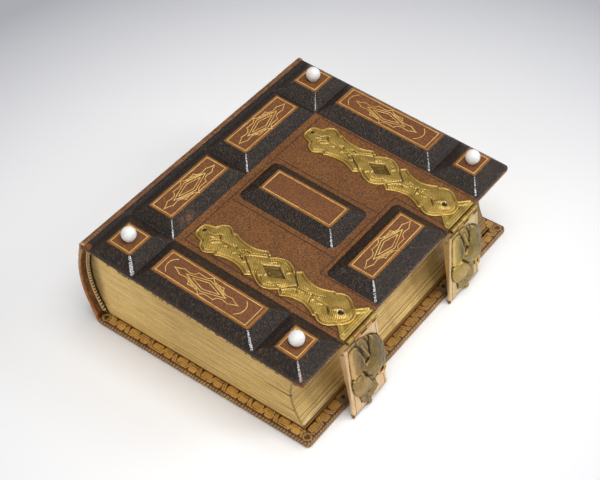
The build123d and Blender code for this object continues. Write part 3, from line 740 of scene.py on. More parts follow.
def cover_height(x, y):
    h = np.zeros_like(x)
    for (t, f) in RECTS:
        a = (x - f[0]) / (t[0] - f[0])
        b = (f[1] - x) / (f[1] - t[1])
        c = (y - f[2]) / (t[2] - f[2])
        d = (f[3] - y) / (f[3] - t[3])
        s0 = np.minimum(np.minimum(a, b), np.minimum(c, d))
        k = 0.06 + 0.34 * np.clip(1 - s0, 0, 1.2)
        s = smin(smin(a, b, k), smin(c, d, k), k)
        h = np.maximum(h, panel_h * soft_clip(s))
    return h


def lines_with(edges, step):
    edges = sorted(set(round(e, 4) for e in edges))
    out = [edges[0]]
    for a, b in zip(edges[:-1], edges[1:]):
        n = max(1, int(math.ceil((b - a) / step - 1e-6)))
        out += [a + (b - a) * (i + 1) / n for i in range(n)]
    return np.array(out)


def seg_dist(P, pts, closed=False):
    """Distance from points P (n, 2) to a polyline."""
    pts = np.asarray(pts, float)
    if closed:
        pts = np.vstack([pts, pts[:1]])
    best = np.full(len(P), 1e9)
    for a, b in zip(pts[:-1], pts[1:]):
        d = b - a
        L = max(float(d @ d), 1e-12)
        t = np.clip(((P - a) @ d) / L, 0, 1)
        q = P - a - t[:, None] * d
        best = np.minimum(best, np.hypot(q[:, 0], q[:, 1]))
    return best


def inside(P, poly):
    poly = np.asarray(poly, float)
    x, y = P[:, 0], P[:, 1]
    c = np.zeros(len(P), bool)
    j = len(poly) - 1
    for i in range(len(poly)):
        xi, yi = poly[i]
        xj, yj = poly[j]
        if yi != yj:
            k = ((yi > y) != (yj > y)) & (x < (xj - xi) * (y - yi) / (yj - yi) + xi)
            c ^= k
        j = i
    return c


def sd_poly(P, poly):
    """Distance inside a polygon, negative outside."""
    d = seg_dist(P, poly, True)
    return np.where(inside(P, poly), d, -d)


def catmull(pts, step=0.3, closed=False):
    """A smooth line through the points."""
    pts = np.asarray(pts, float)
    n = len(pts)
    out = []
    for i in range(n if closed else n - 1):
        p0 = pts[(i - 1) % n] if (closed or i > 0) else 2 * pts[0] - pts[1]
        p1, p2 = pts[i], pts[(i + 1) % n]
        p3 = pts[(i + 2) % n] if (closed or i + 2 < n) else 2 * pts[-1] - pts[-2]
        L = np.linalg.norm(p2 - p1)
        k = max(2, int(math.ceil(L / step)))
        for s in range(k):
            t = s / k
            out.append(0.5 * ((2 * p1) + (-p0 + p2) * t + (2 * p0 - 5 * p1 + 4 * p2 - p3) * t * t + (-p0 + 3 * p1 - 3 * p2 + p3) * t ** 3))
    if not closed:
        out.append(pts[-1])
    return np.array(out)


# ------------------------------------------------------------------ board shell: outer face, rounded edges, inner face
def board_shell(name, xs, ys, height_fn, t, to_row, body, mats, attrs_fn, edge_mat, inner_mat, replaces, round_out=0.9, round_in=0.9, corner=1.6, ragged=False):
    """A leather-covered board. Its outer face is a height field over xs, ys; its edges are rounded; its inner face is
    flat, and the gilt border is a separate shell.
    """
    x0, x1, y0, y1 = xs[0], xs[-1], ys[0], ys[-1]
    cx, cy, hx, hy = (x0 + x1) / 2, (y0 + y1) / 2, (x1 - x0) / 2, (y1 - y0) / 2

    def squash_corner(x, y, inset):
        """Rounds the outline's corners; inset is not used."""
        u, v = x - cx, y - cy
        sx, sy = np.sign(u), np.sign(v)
        u, v = np.abs(u), np.abs(v)
        r = corner
        a, b = u - (hx - r), v - (hy - r)
        k = (a > 0) & (b > 0)
        m = np.maximum(a, b)
        L = np.hypot(a, b)
        f = np.where(k & (L > 0), m / np.maximum(L, 1e-9), 1.0)
        u2 = np.where(k, hx - r + a * f, u)
        v2 = np.where(k, hy - r + b * f, v)
        return cx + sx * u2, cy + sy * v2

    X, Y = np.meshgrid(xs, ys, indexing="ij")
    n, m = X.shape
    Xc, Yc = squash_corner(X, Y, 0)
    Z = height_fn(X, Y)
    # pull the outer rows down and in, as a rounded edge
    d = np.minimum(np.minimum(X - x0, x1 - X), np.minimum(Y - y0, y1 - Y))
    ro = round_out
    Z = Z - np.where(d < ro, ro - np.sqrt(np.maximum(ro ** 2 - (ro - d) ** 2, 0)), 0)
    V = [np.stack([Xc, Yc, Z], -1).reshape(-1, 3)]
    A = [np.stack([X, Y, Z], -1).reshape(-1, 3)]
    Q = [grid_quads(n, m)]
    FM = [np.zeros(len(Q[0]), int)]
    # boundary loop of the outer face
    loop = [(i, 0) for i in range(n)] + [(n - 1, j) for j in range(1, m)] + [(i, m - 1) for i in range(n - 2, -1, -1)] + [(0, j) for j in range(m - 2, 0, -1)]
    li = np.array([i * m + j for i, j in loop])
    L = len(li)
    base_pts = V[0][li]
    nrm = []
    for k in range(L):
        p, q = base_pts[(k - 1) % L], base_pts[(k + 1) % L]
        tx, ty = q[0] - p[0], q[1] - p[1]
        l = math.hypot(tx, ty)
        nrm.append((ty / l, -tx / l))
    nrm = np.array(nrm)
    rows = []
    z_top = -ro
    z_bot = -t + round_in
    for z in np.linspace(z_top, z_bot, 6)[1:]:
        rows.append((0.0, z))
    for a in np.linspace(0, math.pi / 2, 5)[1:]:
        rows.append((round_in * (1 - math.cos(a)), -t + round_in * (1 - math.sin(a))))
    n_edge = len(rows)
    inner_rows = [1.6, 2.5, 3.5, 4.5, 5.5, 6.6, 7.8]
    for w in inner_rows:
        rows.append((w, -t))
    prev = li
    count = len(V[0])
    s_along = np.concatenate([[0], np.cumsum(np.hypot(*(np.roll(base_pts[:, :2], -1, 0) - base_pts[:, :2])[:-1].T))])
    extra = []
    for r_i, (ins, z) in enumerate(rows):
        P = base_pts.copy()
        P[:, 0] -= nrm[:, 0] * ins
        P[:, 1] -= nrm[:, 1] * ins
        P[:, 2] = z
        if ragged and 5 <= r_i < 8:
            # scuffed leather hangs in tufts along the tail edge
            s = base_pts[:, 0]
            tuft = smooth01((noise1(s, 0.8, 31) + 0.4 * noise1(s, 5.0, 32) - 0.02) / 0.28)
            k = tuft * (np.abs(base_pts[:, 1] - y0) < 0.3) * smooth01((s - 8) / 4) * smooth01((x1 - 1.5 - s) / 2)
            P[:, 2] -= (0.45, 0.85, 0.55)[r_i - 5] * k
            P[:, 1] -= (0.0, 0.20, 0.0)[r_i - 5] * k
        V.append(P)
        A.append(P)
        cur = np.arange(count, count + L)
        count += L
        q = np.stack([prev, cur, np.roll(cur, -1), np.roll(prev, -1)], -1)
        Q.append(q[:, ::1])
        FM.append(np.full(L, 1 if r_i < n_edge else 2))
        prev = cur
    # closed inner face
    c_i = count
    V.append(np.array([[cx, cy, -t]]))
    A.append(np.array([[cx, cy, -t]]))
    tri = np.stack([prev, np.full(L, c_i), np.roll(prev, -1)], -1)
    V = np.vstack(V)
    A = np.vstack(A)
    Q = np.vstack(Q)
    FMt = np.full(len(tri), 2)
    ob = make_mesh(name, to_row(V), Q, tri, attrs_fn(A, V), body, mats, np.concatenate([np.concatenate(FM), FMt]))
    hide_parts(*replaces)
    return ob


xs = lines_with([0, W] + [v for t, f in RECTS for v in (t[0], t[1], f[0], f[1])], 0.56)
ys = lines_with([-HH, HH] + [v for t, f in RECTS for v in (t[2], t[3], f[2], f[3])], 0.56)


def cover_attrs(A, V):
    x, y = A[:, 0], A[:, 1]
    top = np.full(len(x), -99.0)
    foot = np.full(len(x), -99.0)
    mit = np.full(len(x), 99.0)
    P = A[:, :2]
    for (t, f) in RECTS:
        top = np.maximum(top, sd_rect(x, y, t))
        g = (f[0], f[1] + (4 if f[1] > 125 else 0), f[2] - (4 if f[2] < -80 else 0), f[3] + (4 if f[3] > 80 else 0))
        foot = np.maximum(foot, sd_round(x, y, g, 3.9 if t[0] == 44.8 else 2.6 if t[0] == 105.3 else 1.2))
    # the ridge at the fore and tail corner of each panel, where pale wear and a painted highlight run, wider on some
    for nme, wide in (("square_ts", 1.5), ("long_t", 1.0), ("square_tf", 0.95), ("spine_t", 0.7), ("spine_h", 0.75), ("centre", 0.85), ("fore", 1.0), ("long_h", 0.7), ("square_hf", 0.75), ("square_hs", 0.6)):
        t, f = PANELS[nme]
        dd = seg_dist(P, [(t[1] + 0.3, t[2] - 0.3), (t[1] + (f[1] - t[1]) * 0.86, t[2] + (f[2] - t[2]) * 0.86)])
        down = np.clip((t[2] - y) / (t[2] - f[2]), 0, 1)
        mit = np.minimum(mit, dd / (wide * (0.75 + 0.5 * down)))
    edge = np.minimum(np.minimum(x, W - x), np.minimum(y + HH, HH - y))
    # scuffs: on the spine_t panel's bevel, and a scratch on the tail fore square
    scuff = np.exp(-(((x - 29.2) / 2.3) ** 2 + ((y + HH - 40.5) / 4.5) ** 2))
    scuff = np.maximum(scuff, 0.8 * (seg_dist(P, [(101.6, -HH + 1.2), (103.6, -HH + 4.6)]) < 0.4))
    scuff = np.maximum(scuff, 0.55 * np.exp(-(((x - 127) / 3) ** 2 + ((y + HH) / 3) ** 2)))
    z = A[:, 2]
    gold = np.zeros(len(x))
    gx = np.abs(cover_height(x + 0.2, y) - cover_height(x - 0.2, y))
    gy = np.abs(cover_height(x, y + 0.2) - cover_height(x, y - 0.2))
    return {"sd_top": top, "sd_foot": foot, "mitre": mit, "edge_in": edge, "scuff": scuff, "cv": A, "fore_face": (gx > gy).astype(float)}


cover = board_shell("front_cover_leather", xs, ys, cover_height, board_t, cover_to_row, "front", [M_COVER, M_EDGE, M_LEATHER], cover_attrs, None, None, ["front_cover"], ragged=True)

# ------------------------------------------------------------------ gilt lines on the panel tops
def ribbon_mesh(paths, width, z, thick=0.05):
    """Flat ribbons along polylines in cover coordinates: (points, closed)."""
    V, Q = [], []
    base = 0
    for k, (pts, closed) in enumerate(paths):
        pts = np.asarray(pts, float)
        n = len(pts)
        if closed:
            prv, nxt = np.roll(pts, 1, 0), np.roll(pts, -1, 0)
        else:
            prv = np.vstack([2 * pts[:1] - pts[1:2], pts[:-1]])
            nxt = np.vstack([pts[1:], 2 * pts[-1:] - pts[-2:-1]])
        t1 = (pts - prv) / np.maximum(np.linalg.norm(pts - prv, axis=1), 1e-9)[:, None]
        t2 = (nxt - pts) / np.maximum(np.linalg.norm(nxt - pts, axis=1), 1e-9)[:, None]
        t = t1 + t2
        t /= np.maximum(np.linalg.norm(t, axis=1), 1e-9)[:, None]
        nr = np.stack([-t[:, 1], t[:, 0]], -1)
        s = np.concatenate([[0], np.cumsum(np.linalg.norm(np.diff(pts, axis=0), axis=1))])
        w = width / 2 * (1 + 0.22 * noise1(s, 1.3, 11 + k)) / np.clip(np.einsum("ij,ij->i", t, t2), 0.6, 1)
        if not closed:
            w[0] *= 0.35
            w[-1] *= 0.35
        ring = []
        for off, dz in ((-1, 0.0), (-0.55, thick), (0.55, thick), (1, 0.0)):
            p = pts + nr * (w * off)[:, None]
            ring.append(np.column_stack([p, np.full(n, z + dz - 0.02)]))
        V.append(np.stack(ring, 1).reshape(-1, 3))
        Q.append(grid_quads(n, 4, wrap_u=closed, flip=True, base=base))
        base += 4 * n
    return np.vstack(V), np.vstack(Q)


def rect_path(x0, x1, y0, y1, step=0.6):
    c = [(x0, y0), (x1, y0), (x1, y1), (x0, y1)]
    out = []
    for a, b in zip(c, c[1:] + c[:1]):
        n = max(1, int(math.hypot(b[0] - a[0], b[1] - a[1]) / step))
        out += [(a[0] + (b[0] - a[0]) * i / n, a[1] + (b[1] - a[1]) * i / n) for i in range(n)]
    return out


def poly_path(pts, step=0.5, closed=False):
    pts = [tuple(p) for p in pts]
    seq = pts + pts[:1] if closed else pts
    out = []
    for a, b in zip(seq[:-1], seq[1:]):
        n = max(1, int(math.hypot(b[0] - a[0], b[1] - a[1]) / step))
        out += [(a[0] + (b[0] - a[0]) * i / n, a[1] + (b[1] - a[1]) * i / n) for i in range(n)]
    if not closed:
        out.append(seq[-1])
    return out


# a strapwork lozenge ornament, centred, along +x: half outline of the barbed star, inner lozenges and end brackets
def star(sx, sy, brackets=True):
    q = [(17.3, 0.0), (13.2, 1.9), (10.0, 1.45), (7.9, 2.3), (6.9, 4.1), (4.6, 3.9), (1.5, 4.3), (0.0, 6.1)]
    right_up = q
    pts = right_up + [(-x, y) for x, y in right_up[-2::-1]]
    pts += [(-x, -y) for x, y in right_up[1:]] + [(x, -y) for x, y in right_up[-2:0:-1]]
    segs = []
    # barbs stand out from the curve: each run between barbs is a shallow arc
    cur = []
    for i in range(len(pts)):
        a, b = np.array(pts[i]), np.array(pts[(i + 1) % len(pts)])
        mid = (a + b) / 2
        inward = -mid / max(np.hypot(*mid), 1e-6)
        k = 0.10 * np.linalg.norm(b - a)
        for t in np.linspace(0, 1, 7)[:-1]:
            p = a * (1 - t) + b * t + inward * k * 4 * t * (1 - t)
            cur.append((p[0] * sx, p[1] * sy))
    segs.append((cur, True))
    segs.append((poly_path([(-10.8 * sx, 0), (0, 3.7 * sy), (10.8 * sx, 0), (0, -3.7 * sy)], 0.5, True), True))
    segs.append((poly_path([(-7.4 * sx, 0), (0, 2.3 * sy), (7.4 * sx, 0), (0, -2.3 * sy)], 0.5, True), True))
    # the lozenge's sides are doubled on two of its quarters
    for a in (-1, 1):
        segs.append((poly_path([(a * 9.4 * sx, a * 0.95 * sy), (a * 1.6 * sx, a * 3.75 * sy)], 0.5), False))
        segs.append((poly_path([(a * 8.9 * sx, a * 1.75 * sy), (a * 2.2 * sx, a * 4.35 * sy)], 0.5), False))
    if brackets:
        for a in (-1, 1):
            segs.append((catmull([(a * 18.6 * sx, 4.7 * sy), (a * 20.4 * sx, 2.4 * sy), (a * 20.9 * sx, 0), (a * 20.2 * sx, -2.6 * sy), (a * 18.4 * sx, -4.8 * sy)], 0.4), False))
    return segs


def placed(segs, cx, cy, turn=False, mirror=1):
    out = []
    for pts, closed in segs:
        p = np.asarray(pts, float)
        if turn:
            p = np.stack([-p[:, 1] * mirror, p[:, 0]], -1)
        else:
            p = p * (1, mirror)
        out.append((p + (cx, cy), closed))
    return out


frames, ornaments = [], []
for nme, (t, f) in PANELS.items():
    e = 1.15
    x0, x1, y0, y1 = t[0] + e, t[1] - e, t[2] + e, t[3] - e
    if nme in ("long_t", "long_h"):
        x1 -= 1.2
        x0 += 0.3
    frames.append((rect_path(x0, x1, y0, y1), True))
ly = (ya + yb) / 2
ornaments += placed(star(1.04, 0.99), 63.6, ly)
ornaments += placed(star(1.04, 0.99), 63.6, -ly)
ornaments += placed(star(1.06, 0.98, False), 112.2, 0.6, True)
ornaments += placed(star(1.05, 0.98, False), 19.0, -HH + 54.5, True)
ornaments += placed(star(1.05, 0.98, False), 19.0, HH - 54.5, True)
Vf, Qf = ribbon_mesh(frames, 0.44, panel_h, 0.07)
Vo, Qo = ribbon_mesh(ornaments, 0.42, panel_h, 0.07)
gilt_frames = make_mesh("gilt_frames", cover_to_row(Vf), Qf, body="front", mats=[M_GILT])
gilt_ornaments = make_mesh("gilt_ornaments", cover_to_row(Vo), Qo, body="front", mats=[M_GILT])


# ------------------------------------------------------------------ the gilt roll on the back board's edges and both boards' turned-in leather
def roll_pattern(a, q):
    """Gold (1) or pressed line (0) at distance a along and q in from the page side, mm."""
    P = 15.0
    a = np.mod(a, P)
    g = np.zeros_like(a)

    def band(v, c, w):
        return np.clip(0.5 + (w / 2 - np.abs(v - c)) / 0.16, 0, 1)

    def box(u0, u1, v0, v1, r=0.8):
        cx, cy, hx, hy = (u0 + u1) / 2, (v0 + v1) / 2, (u1 - u0) / 2 - r, (v1 - v0) / 2 - r
        dx, dy = np.abs(a - cx) - hx, np.abs(q - cy) - hy
        return r - (np.hypot(np.maximum(dx, 0), np.maximum(dy, 0)) + np.minimum(np.maximum(dx, dy), 0))

    def fill(d, soft=0.22):
        return np.clip(0.5 + d / soft, 0, 1)

    on = fill(4.45 - q)
    sl = (q - 2.3) * 0.42
    for c in (0.55, 1.75):
        g = np.maximum(g, band(a - sl, c, 0.92) * on)
    for c in (8.75, 9.85):
        g = np.maximum(g, band(a + sl, c, 0.84) * on)
    # upper tile, bricks under it
    d = box(2.75, 8.15, 0.05, 3.3, 0.9)
    g = np.maximum(g, fill(d))
    g = g * (1 - 0.75 * band(q, 2.5, 0.22) * fill(a - 3.6) * fill(7.4 - a))
    bricks = band(np.mod(a, 1.1), 0.55, 0.86) * band(q, 4.0, 0.85)
    g = np.maximum(g, bricks * fill(a - 2.9) * fill(8.0 - a))
    # lower half-oval tile, bricks above it
    d = box(10.45, 14.85, 1.2, 4.5, 1.25)
    g = np.maximum(g, fill(d))
    g = g * (1 - 0.75 * band(q, 2.0, 0.22) * fill(a - 11.3) * fill(14.1 - a))
    bricks = band(np.mod(a, 1.1), 0.55, 0.86) * band(q, 0.5, 0.85)
    g = np.maximum(g, bricks * fill(a - 10.6) * fill(14.7 - a))
    return g


def roll_piece(name, to_row, body, along_step, edge=True, t=board_t, ro=0.9, ri=0.9):
    """The edge band and inner border of a board, as one shell just outside the leather board."""
    r0 = 1.6
    prof = []    # (inset, z, zone) from the outer rounding to the page side
    for a in np.linspace(math.radians(35), math.pi / 2, 4):
        prof.append((ro * (1 - math.sin(a)), -ro * (1 - math.cos(a)) - 0.0, 0))
    for z in np.linspace(-ro, -t + ri, 6)[1:]:
        prof.append((0.0, z, 0))
    for a in np.linspace(0, math.pi / 2, 5)[1:]:
        prof.append((ri * (1 - math.cos(a)), -t + ri * (1 - math.sin(a)), 0 if a < 0.9 else 1))
    for w in np.linspace(ri, 5.7, 15)[1:]:
        prof.append((w, -t, 1))
    if not edge:
        prof = [p for p in prof if p[2] == 1]
    nW, nH, nC = int((W - 2 * r0) / along_step), int((H - 2 * r0) / along_step), 5
    rows = []
    info = []
    for ins, z, zone in prof:
        rb = max(r0 - ins, 0.03)
        hx, hy = W / 2 - ins, HH - ins
        tW, tH = np.linspace(-1, 1, nW), np.linspace(-1, 1, nH)
        arc = np.linspace(0, math.pi / 2, nC + 2)[1:-1]
        xs_, ys_ = hx - rb, hy - rb
        seg = []
        seg.append(np.stack([tW * xs_, np.full(nW, -hy)], -1))
        seg.append(np.stack([xs_ + rb * np.sin(arc), -ys_ - rb * np.cos(arc)], -1))
        seg.append(np.stack([np.full(nH, hx), tH * ys_], -1))
        seg.append(np.stack([xs_ + rb * np.cos(arc), ys_ + rb * np.sin(arc)], -1))
        seg.append(np.stack([-tW * xs_, np.full(nW, hy)], -1))
        seg.append(np.stack([-xs_ - rb * np.sin(arc), ys_ + rb * np.cos(arc)], -1))
        seg.append(np.stack([np.full(nH, -hx), -tH * ys_], -1))
        seg.append(np.stack([-xs_ - rb * np.cos(arc), -ys_ - rb * np.sin(arc)], -1))
        p = np.vstack(seg)
        rows.append(np.column_stack([p, np.full(len(p), z)]))
        info.append(zone)
    R = np.stack(rows, 1)     # along, across, 3
    n, m = R.shape[:2]
    x, y, z = R[..., 0], R[..., 1], R[..., 2]
    dx, dy = W / 2 - np.abs(x), HH - np.abs(y)
    along = np.where(dy < dx, x * np.sign(y + 1e-9), -y * np.sign(x + 1e-9))
    d = np.minimum(dx, dy)
    q = 5.5 - d
    zone = np.array(info)[None, :] * np.ones((n, 1))
    wob = 0.18 * noise1(along.ravel(), 2.2, 5).reshape(along.shape)
    gold_in = roll_pattern(along + 3.3 + 0.3 * wob, q + wob)
    # corner medallion: a pressed rosette where the two runs meet
    cu, cv = dx - 2.95, dy - 2.95
    rr = np.hypot(cu, cv)
    ang = np.arctan2(cv, cu)
    ros = np.clip(0.5 + (0.34 - np.abs(rr - (1.85 + 0.08 * np.cos(8 * ang)))) / 0.2, 0, 1)
    ros = np.maximum(ros, 0.8 * np.clip(0.5 + (0.2 - np.abs(rr - 0.95)) / 0.2, 0, 1) * (np.cos(3 * ang) > 0.1))
    near = (np.maximum(dx, dy) < 5.4)
    gold_in = np.where(near & (rr < 2.6), ros, gold_in)
    # slanted dashes on the board's edge
    s = np.mod(along + (z + t) * 0.6 + 0.30 * noise1(along.ravel(), 3.1, 9).reshape(along.shape), 1.7) - 0.85
    gold_edge = np.clip(0.5 + (0.58 - np.abs(s)) / 0.2, 0, 1)
    gold = np.where(zone > 0.5, gold_in, gold_edge)
    gold = np.where((zone > 0.5) & (d < 1.0) & ~(near & (rr < 2.3)), np.where(d < 0.55, gold_edge * 0.9, 0.05 * gold), gold)
    # relief along the surface normal
    N = np.zeros_like(R)
    for j in range(m):
        a = R[:, min(j + 1, m - 1)] - R[:, max(j - 1, 0)]
        tx = np.roll(R[:, j], -1, 0) - np.roll(R[:, j], 1, 0)
        c = np.cross(tx, a)
        N[:, j] = c / np.maximum(np.linalg.norm(c, axis=1), 1e-9)[:, None]
    if N[n // 8, m - 3, 2] > 0:
        N = -N
    lift = 0.05 + 0.17 * gold + 0.02 * vnoise(R.reshape(-1, 3), 1.1, 3).reshape(n, m)
    lift = np.where(np.arange(m)[None, :] == 0, -0.04, lift)
    lift = np.where(np.arange(m)[None, :] == m - 1, -0.04, lift)
    R = R + N * lift[..., None]
    V = R.reshape(-1, 3)
    Vc = V + (W / 2, 0, 0)
    quads = grid_quads(n, m, wrap_u=True)
    ob = make_mesh(name, to_row(Vc), quads, None, {"gold": gold.ravel(), "relief": gold.ravel()}, body, [M_ROLL])
    return ob


def back_to_row(P):
    P = np.asarray(P, float)
    return np.stack([P[..., 0] - W / 2, -P[..., 1], -P[..., 2]], -1)


def facing(ob, outward):
    """Flips every face if the mesh as a whole faces the wrong way. outward(centres) gives the wanted direction at face centres."""
    me = ob.data
    n = len(me.polygons)
    c = np.zeros(n * 3)
    nr = np.zeros(n * 3)
    me.polygons.foreach_get("center", c)
    me.polygons.foreach_get("normal", nr)
    c, nr = c.reshape(-1, 3), nr.reshape(-1, 3)
    if np.sum(nr * outward(c * 1000)) < 0:
        me.flip_normals()
    return ob


mid_front = cover_to_row(np.array([W / 2, 0, -board_t / 2]))
facing(cover, lambda c: c - mid_front)
front_roll = roll_piece("front_board_gilt_border", cover_to_row, "front", 0.42, False)
facing(front_roll, lambda c: (c - mid_front) * (0.2, 0.2, 1))
back_roll = roll_piece("back_board_gilt_edges", back_to_row, "back", 0.33)
facing(back_roll, lambda c: (c - (0, 0, board_t / 2)) * (0.2, 0.2, 1))


# ------------------------------------------------------------------ back board
def back_height(x, y):
    """A double frame of blind lines pressed into the underside."""
    h = np.zeros_like(x)
    for e in (6.0, 8.0, 22.0):
        d = np.abs(sd_rect(x, y, (e, W - e, -HH + e, HH - e)))
        h -= 0.22 * np.clip(1 - d / 0.6, 0, 1)
    return h


def apart(v, least=0.05):
    """The values in order, without any that nearly repeat the one before."""
    v = np.unique(v)
    out = [v[0]]
    for a in v[1:-1]:
        if a - out[-1] > least and v[-1] - a > least:
            out.append(a)
    return np.array(out + [v[-1]])


bxs = lines_with([0, 1, 5, 7, 9, 21, 23, W - 23, W - 21, W - 9, W - 7, W - 5, W - 1, W], 2.4)
bys = lines_with([-HH, -HH + 1, -HH + 5, -HH + 7, -HH + 9, -HH + 21, -HH + 23, HH - 23, HH - 21, HH - 9, HH - 7, HH - 5, HH - 1, HH], 2.4)
fine = lambda v: np.unique(np.concatenate([v] + [np.arange(a, a + 2.01, 0.33) for a in (5, 7, 21)] + [np.arange(a, a + 2.01, 0.33) for a in (W - 7, W - 9, W - 23)] + [np.arange(0, 1.01, 0.25), W - np.arange(0, 1.01, 0.25)]))
bxs = apart(fine(bxs))
bys = apart(np.concatenate([bys] + [np.arange(a, a + 2.01, 0.33) for a in (-HH + 5, -HH + 7, -HH + 21, HH - 7, HH - 9, HH - 23)] + [-HH + np.arange(0, 1.01, 0.25), HH - np.arange(0, 1.01, 0.25)]))


def plain_attrs(A, V):
    # where the blind lines of the outer face are pressed in
    pressed = np.where(A[:, 2] > -0.5, np.clip(-back_height(A[:, 0], A[:, 1]) / 0.22, 0, 1), 0.0)
    return {"pressed": pressed, "cv": A}


back = board_shell("back_cover_leather", bxs, bys, back_height, board_t, back_to_row, "back", [M_LEATHER, M_LEATHER, M_LEATHER], plain_attrs, None, None, ["back_cover"], round_out=0.6)
facing(back, lambda c: c - (0, 0, board_t / 2))


# ------------------------------------------------------------------ spine: rounded leather back with raised bands
spine_lo, spine_hi, spine_x = (-64.75, 4.7), (-64.75, 50.4), -70.1
arc_cz = (spine_lo[1] + spine_hi[1]) / 2
chord = spine_hi[1] - spine_lo[1]
sag = spine_lo[0] - spine_x
arc_r = (chord ** 2 / 4 + sag ** 2) / (2 * sag)
arc_cx = spine_x + arc_r
band_ys = (-45.0, -11.5, 21.0, 56.0)
half_ang = math.asin(chord / 2 / arc_r)


def spine_shell():
    na = 72
    ang = np.linspace(-half_ang, half_ang, na)
    edges = [-HH, -HH + 0.25, -HH + 0.6, -HH + 1.1, HH - 1.1, HH - 0.6, HH - 0.25, HH]
    for b in band_ys:
        edges += [b - 3.2, b - 2.4, b - 1.8, b - 1.2, b, b + 1.2, b + 1.8, b + 2.4, b + 3.2]
    yy = lines_with(edges, 1.1)
    A, Y = np.meshgrid(ang, yy, indexing="ij")
    rise = np.zeros_like(A)
    for b in band_ys:
        rise += 0.95 * smooth01(1 - (np.abs(Y - b) - 1.3) / 1.25) * smooth01((half_ang - np.abs(A)) / 0.10)
    # pressed lines each side of the bands
    for b in band_ys:
        for s in (-1, 1):
            rise -= 0.14 * np.clip(1 - np.abs(Y - b - s * 4.2) / 0.4, 0, 1)
    end = np.minimum(Y + HH, HH - Y)
    rise -= np.where(end < 0.9, 0.9 - np.sqrt(np.maximum(0.81 - (0.9 - end) ** 2, 0)), 0)
    rise += 0.05 * vnoise(np.stack([A * arc_r, Y, Y * 0], -1).reshape(-1, 3), 4.0, 8).reshape(A.shape)
    r = arc_r + rise
    P = np.stack([arc_cx - r * np.cos(A), Y, arc_cz + r * np.sin(A)], -1)
    r2 = np.full_like(A, arc_r - 1.15) + np.where(end < 0.7, -0.0 + (0.7 - np.sqrt(np.maximum(0.49 - (0.7 - end) ** 2, 0))) * 0.8, 0)
    P2 = np.stack([arc_cx - r2 * np.cos(A), Y, arc_cz + r2 * np.sin(A)], -1)
    n, m = A.shape
    V = np.vstack([P.reshape(-1, 3), P2.reshape(-1, 3)])
    q1 = grid_quads(n, m)
    q2 = grid_quads(n, m, flip=True, base=n * m)
    side = []
    for j in (0, m - 1):
        for i in range(n - 1):
            a, b2 = i * m + j, (i + 1) * m + j
            side.append((a, b2, b2 + n * m, a + n * m) if j else (b2, a, a + n * m, b2 + n * m))
    for i in (0, n - 1):
        for j in range(m - 1):
            a, b2 = i * m + j, i * m + j + 1
            side.append((b2, a, a + n * m, b2 + n * m) if i else (a, b2, b2 + n * m, a + n * m))
    # tone: paler on the bands (wear and painted highlight), painted shade at their feet
    on_band = np.zeros_like(A)
    in_line = np.zeros_like(A)
    for b in band_ys:
        on_band = np.maximum(on_band, smooth01(1.4 - np.abs(Y - b) / 1.9))
        in_line = np.maximum(in_line, np.clip(1.25 - np.abs(np.abs(Y - b) - 2.9) / 0.8, 0, 1))
    tone = np.concatenate([(0.5 + 0.5 * on_band - 0.5 * in_line).ravel(), np.full(A.size, 0.5)])
    ob = make_mesh("spine_leather", V, np.vstack([q1, q2, np.array(side)]), None, {"relief": tone}, "block", [M_SPINE])
    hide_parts("spine")
    bm = bmesh.new()
    bm.from_mesh(ob.data)
    bmesh.ops.recalc_face_normals(bm, faces=bm.faces)
    bm.to_mesh(ob.data)
    bm.free()
    return ob


M_SPINE = spine_material()
spine = spine_shell()


def strip(name, path, y0, y1, thick, mats, inward):
    """A leather joint: a thin shell along a section path, bending between the spine and a board."""
    path = catmull(path, 0.35)
    n = len(path)
    yy = lines_with([y0, y0 + 0.3, y1 - 0.3, y1], 1.6)
    t = np.gradient(path, axis=0)
    t /= np.linalg.norm(t, axis=1)[:, None]
    nr = np.stack([-t[:, 1], t[:, 0]], -1)
    if np.sum(nr * (path - np.array(inward))) < 0:
        nr = -nr
    s = np.linspace(0, 1, n)
    th = thick * np.clip(np.minimum(s, 1 - s) / 0.12, 0.15, 1)
    V = []
    for off in (0.5, -0.5):
        p = path + nr * (off * th)[:, None]
        X = np.repeat(p[:, 0][:, None], len(yy), 1)
        Z = np.repeat(p[:, 1][:, None], len(yy), 1)
        Y = np.repeat(yy[None, :], n, 0)
        wav = 0.05 * vnoise(np.stack([X, Y, Z], -1).reshape(-1, 3), 5.0, 21).reshape(X.shape)
        V.append(np.stack([X + nr[:, 0][:, None] * wav, Y, Z + nr[:, 1][:, None] * wav], -1).reshape(-1, 3))
    m = len(yy)
    side = []
    nm = n * m
    for j in (0, m - 1):
        for i in range(n - 1):
            a, b2 = i * m + j, (i + 1) * m + j
            side.append((a, b2, b2 + nm, a + nm))
    for i in (0, n - 1):
        for j in range(m - 1):
            a, b2 = i * m + j, i * m + j + 1
            side.append((a, b2, b2 + nm, a + nm))
    Q = np.vstack([grid_quads(n, m), grid_quads(n, m, flip=True, base=nm), np.array(side)])
    ob = make_mesh(name, np.vstack(V), Q, None, {"relief": np.full(2 * nm, 0.5)}, None, mats)
    bm = bmesh.new()
    bm.from_mesh(ob.data)
    bmesh.ops.recalc_face_normals(bm, faces=bm.faces)
    bm.to_mesh(ob.data)
    bm.free()
    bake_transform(ob)
    return ob


def on_arc(offset, z):
    return arc_cx - math.sqrt((arc_r - offset) ** 2 - (z - arc_cz) ** 2)


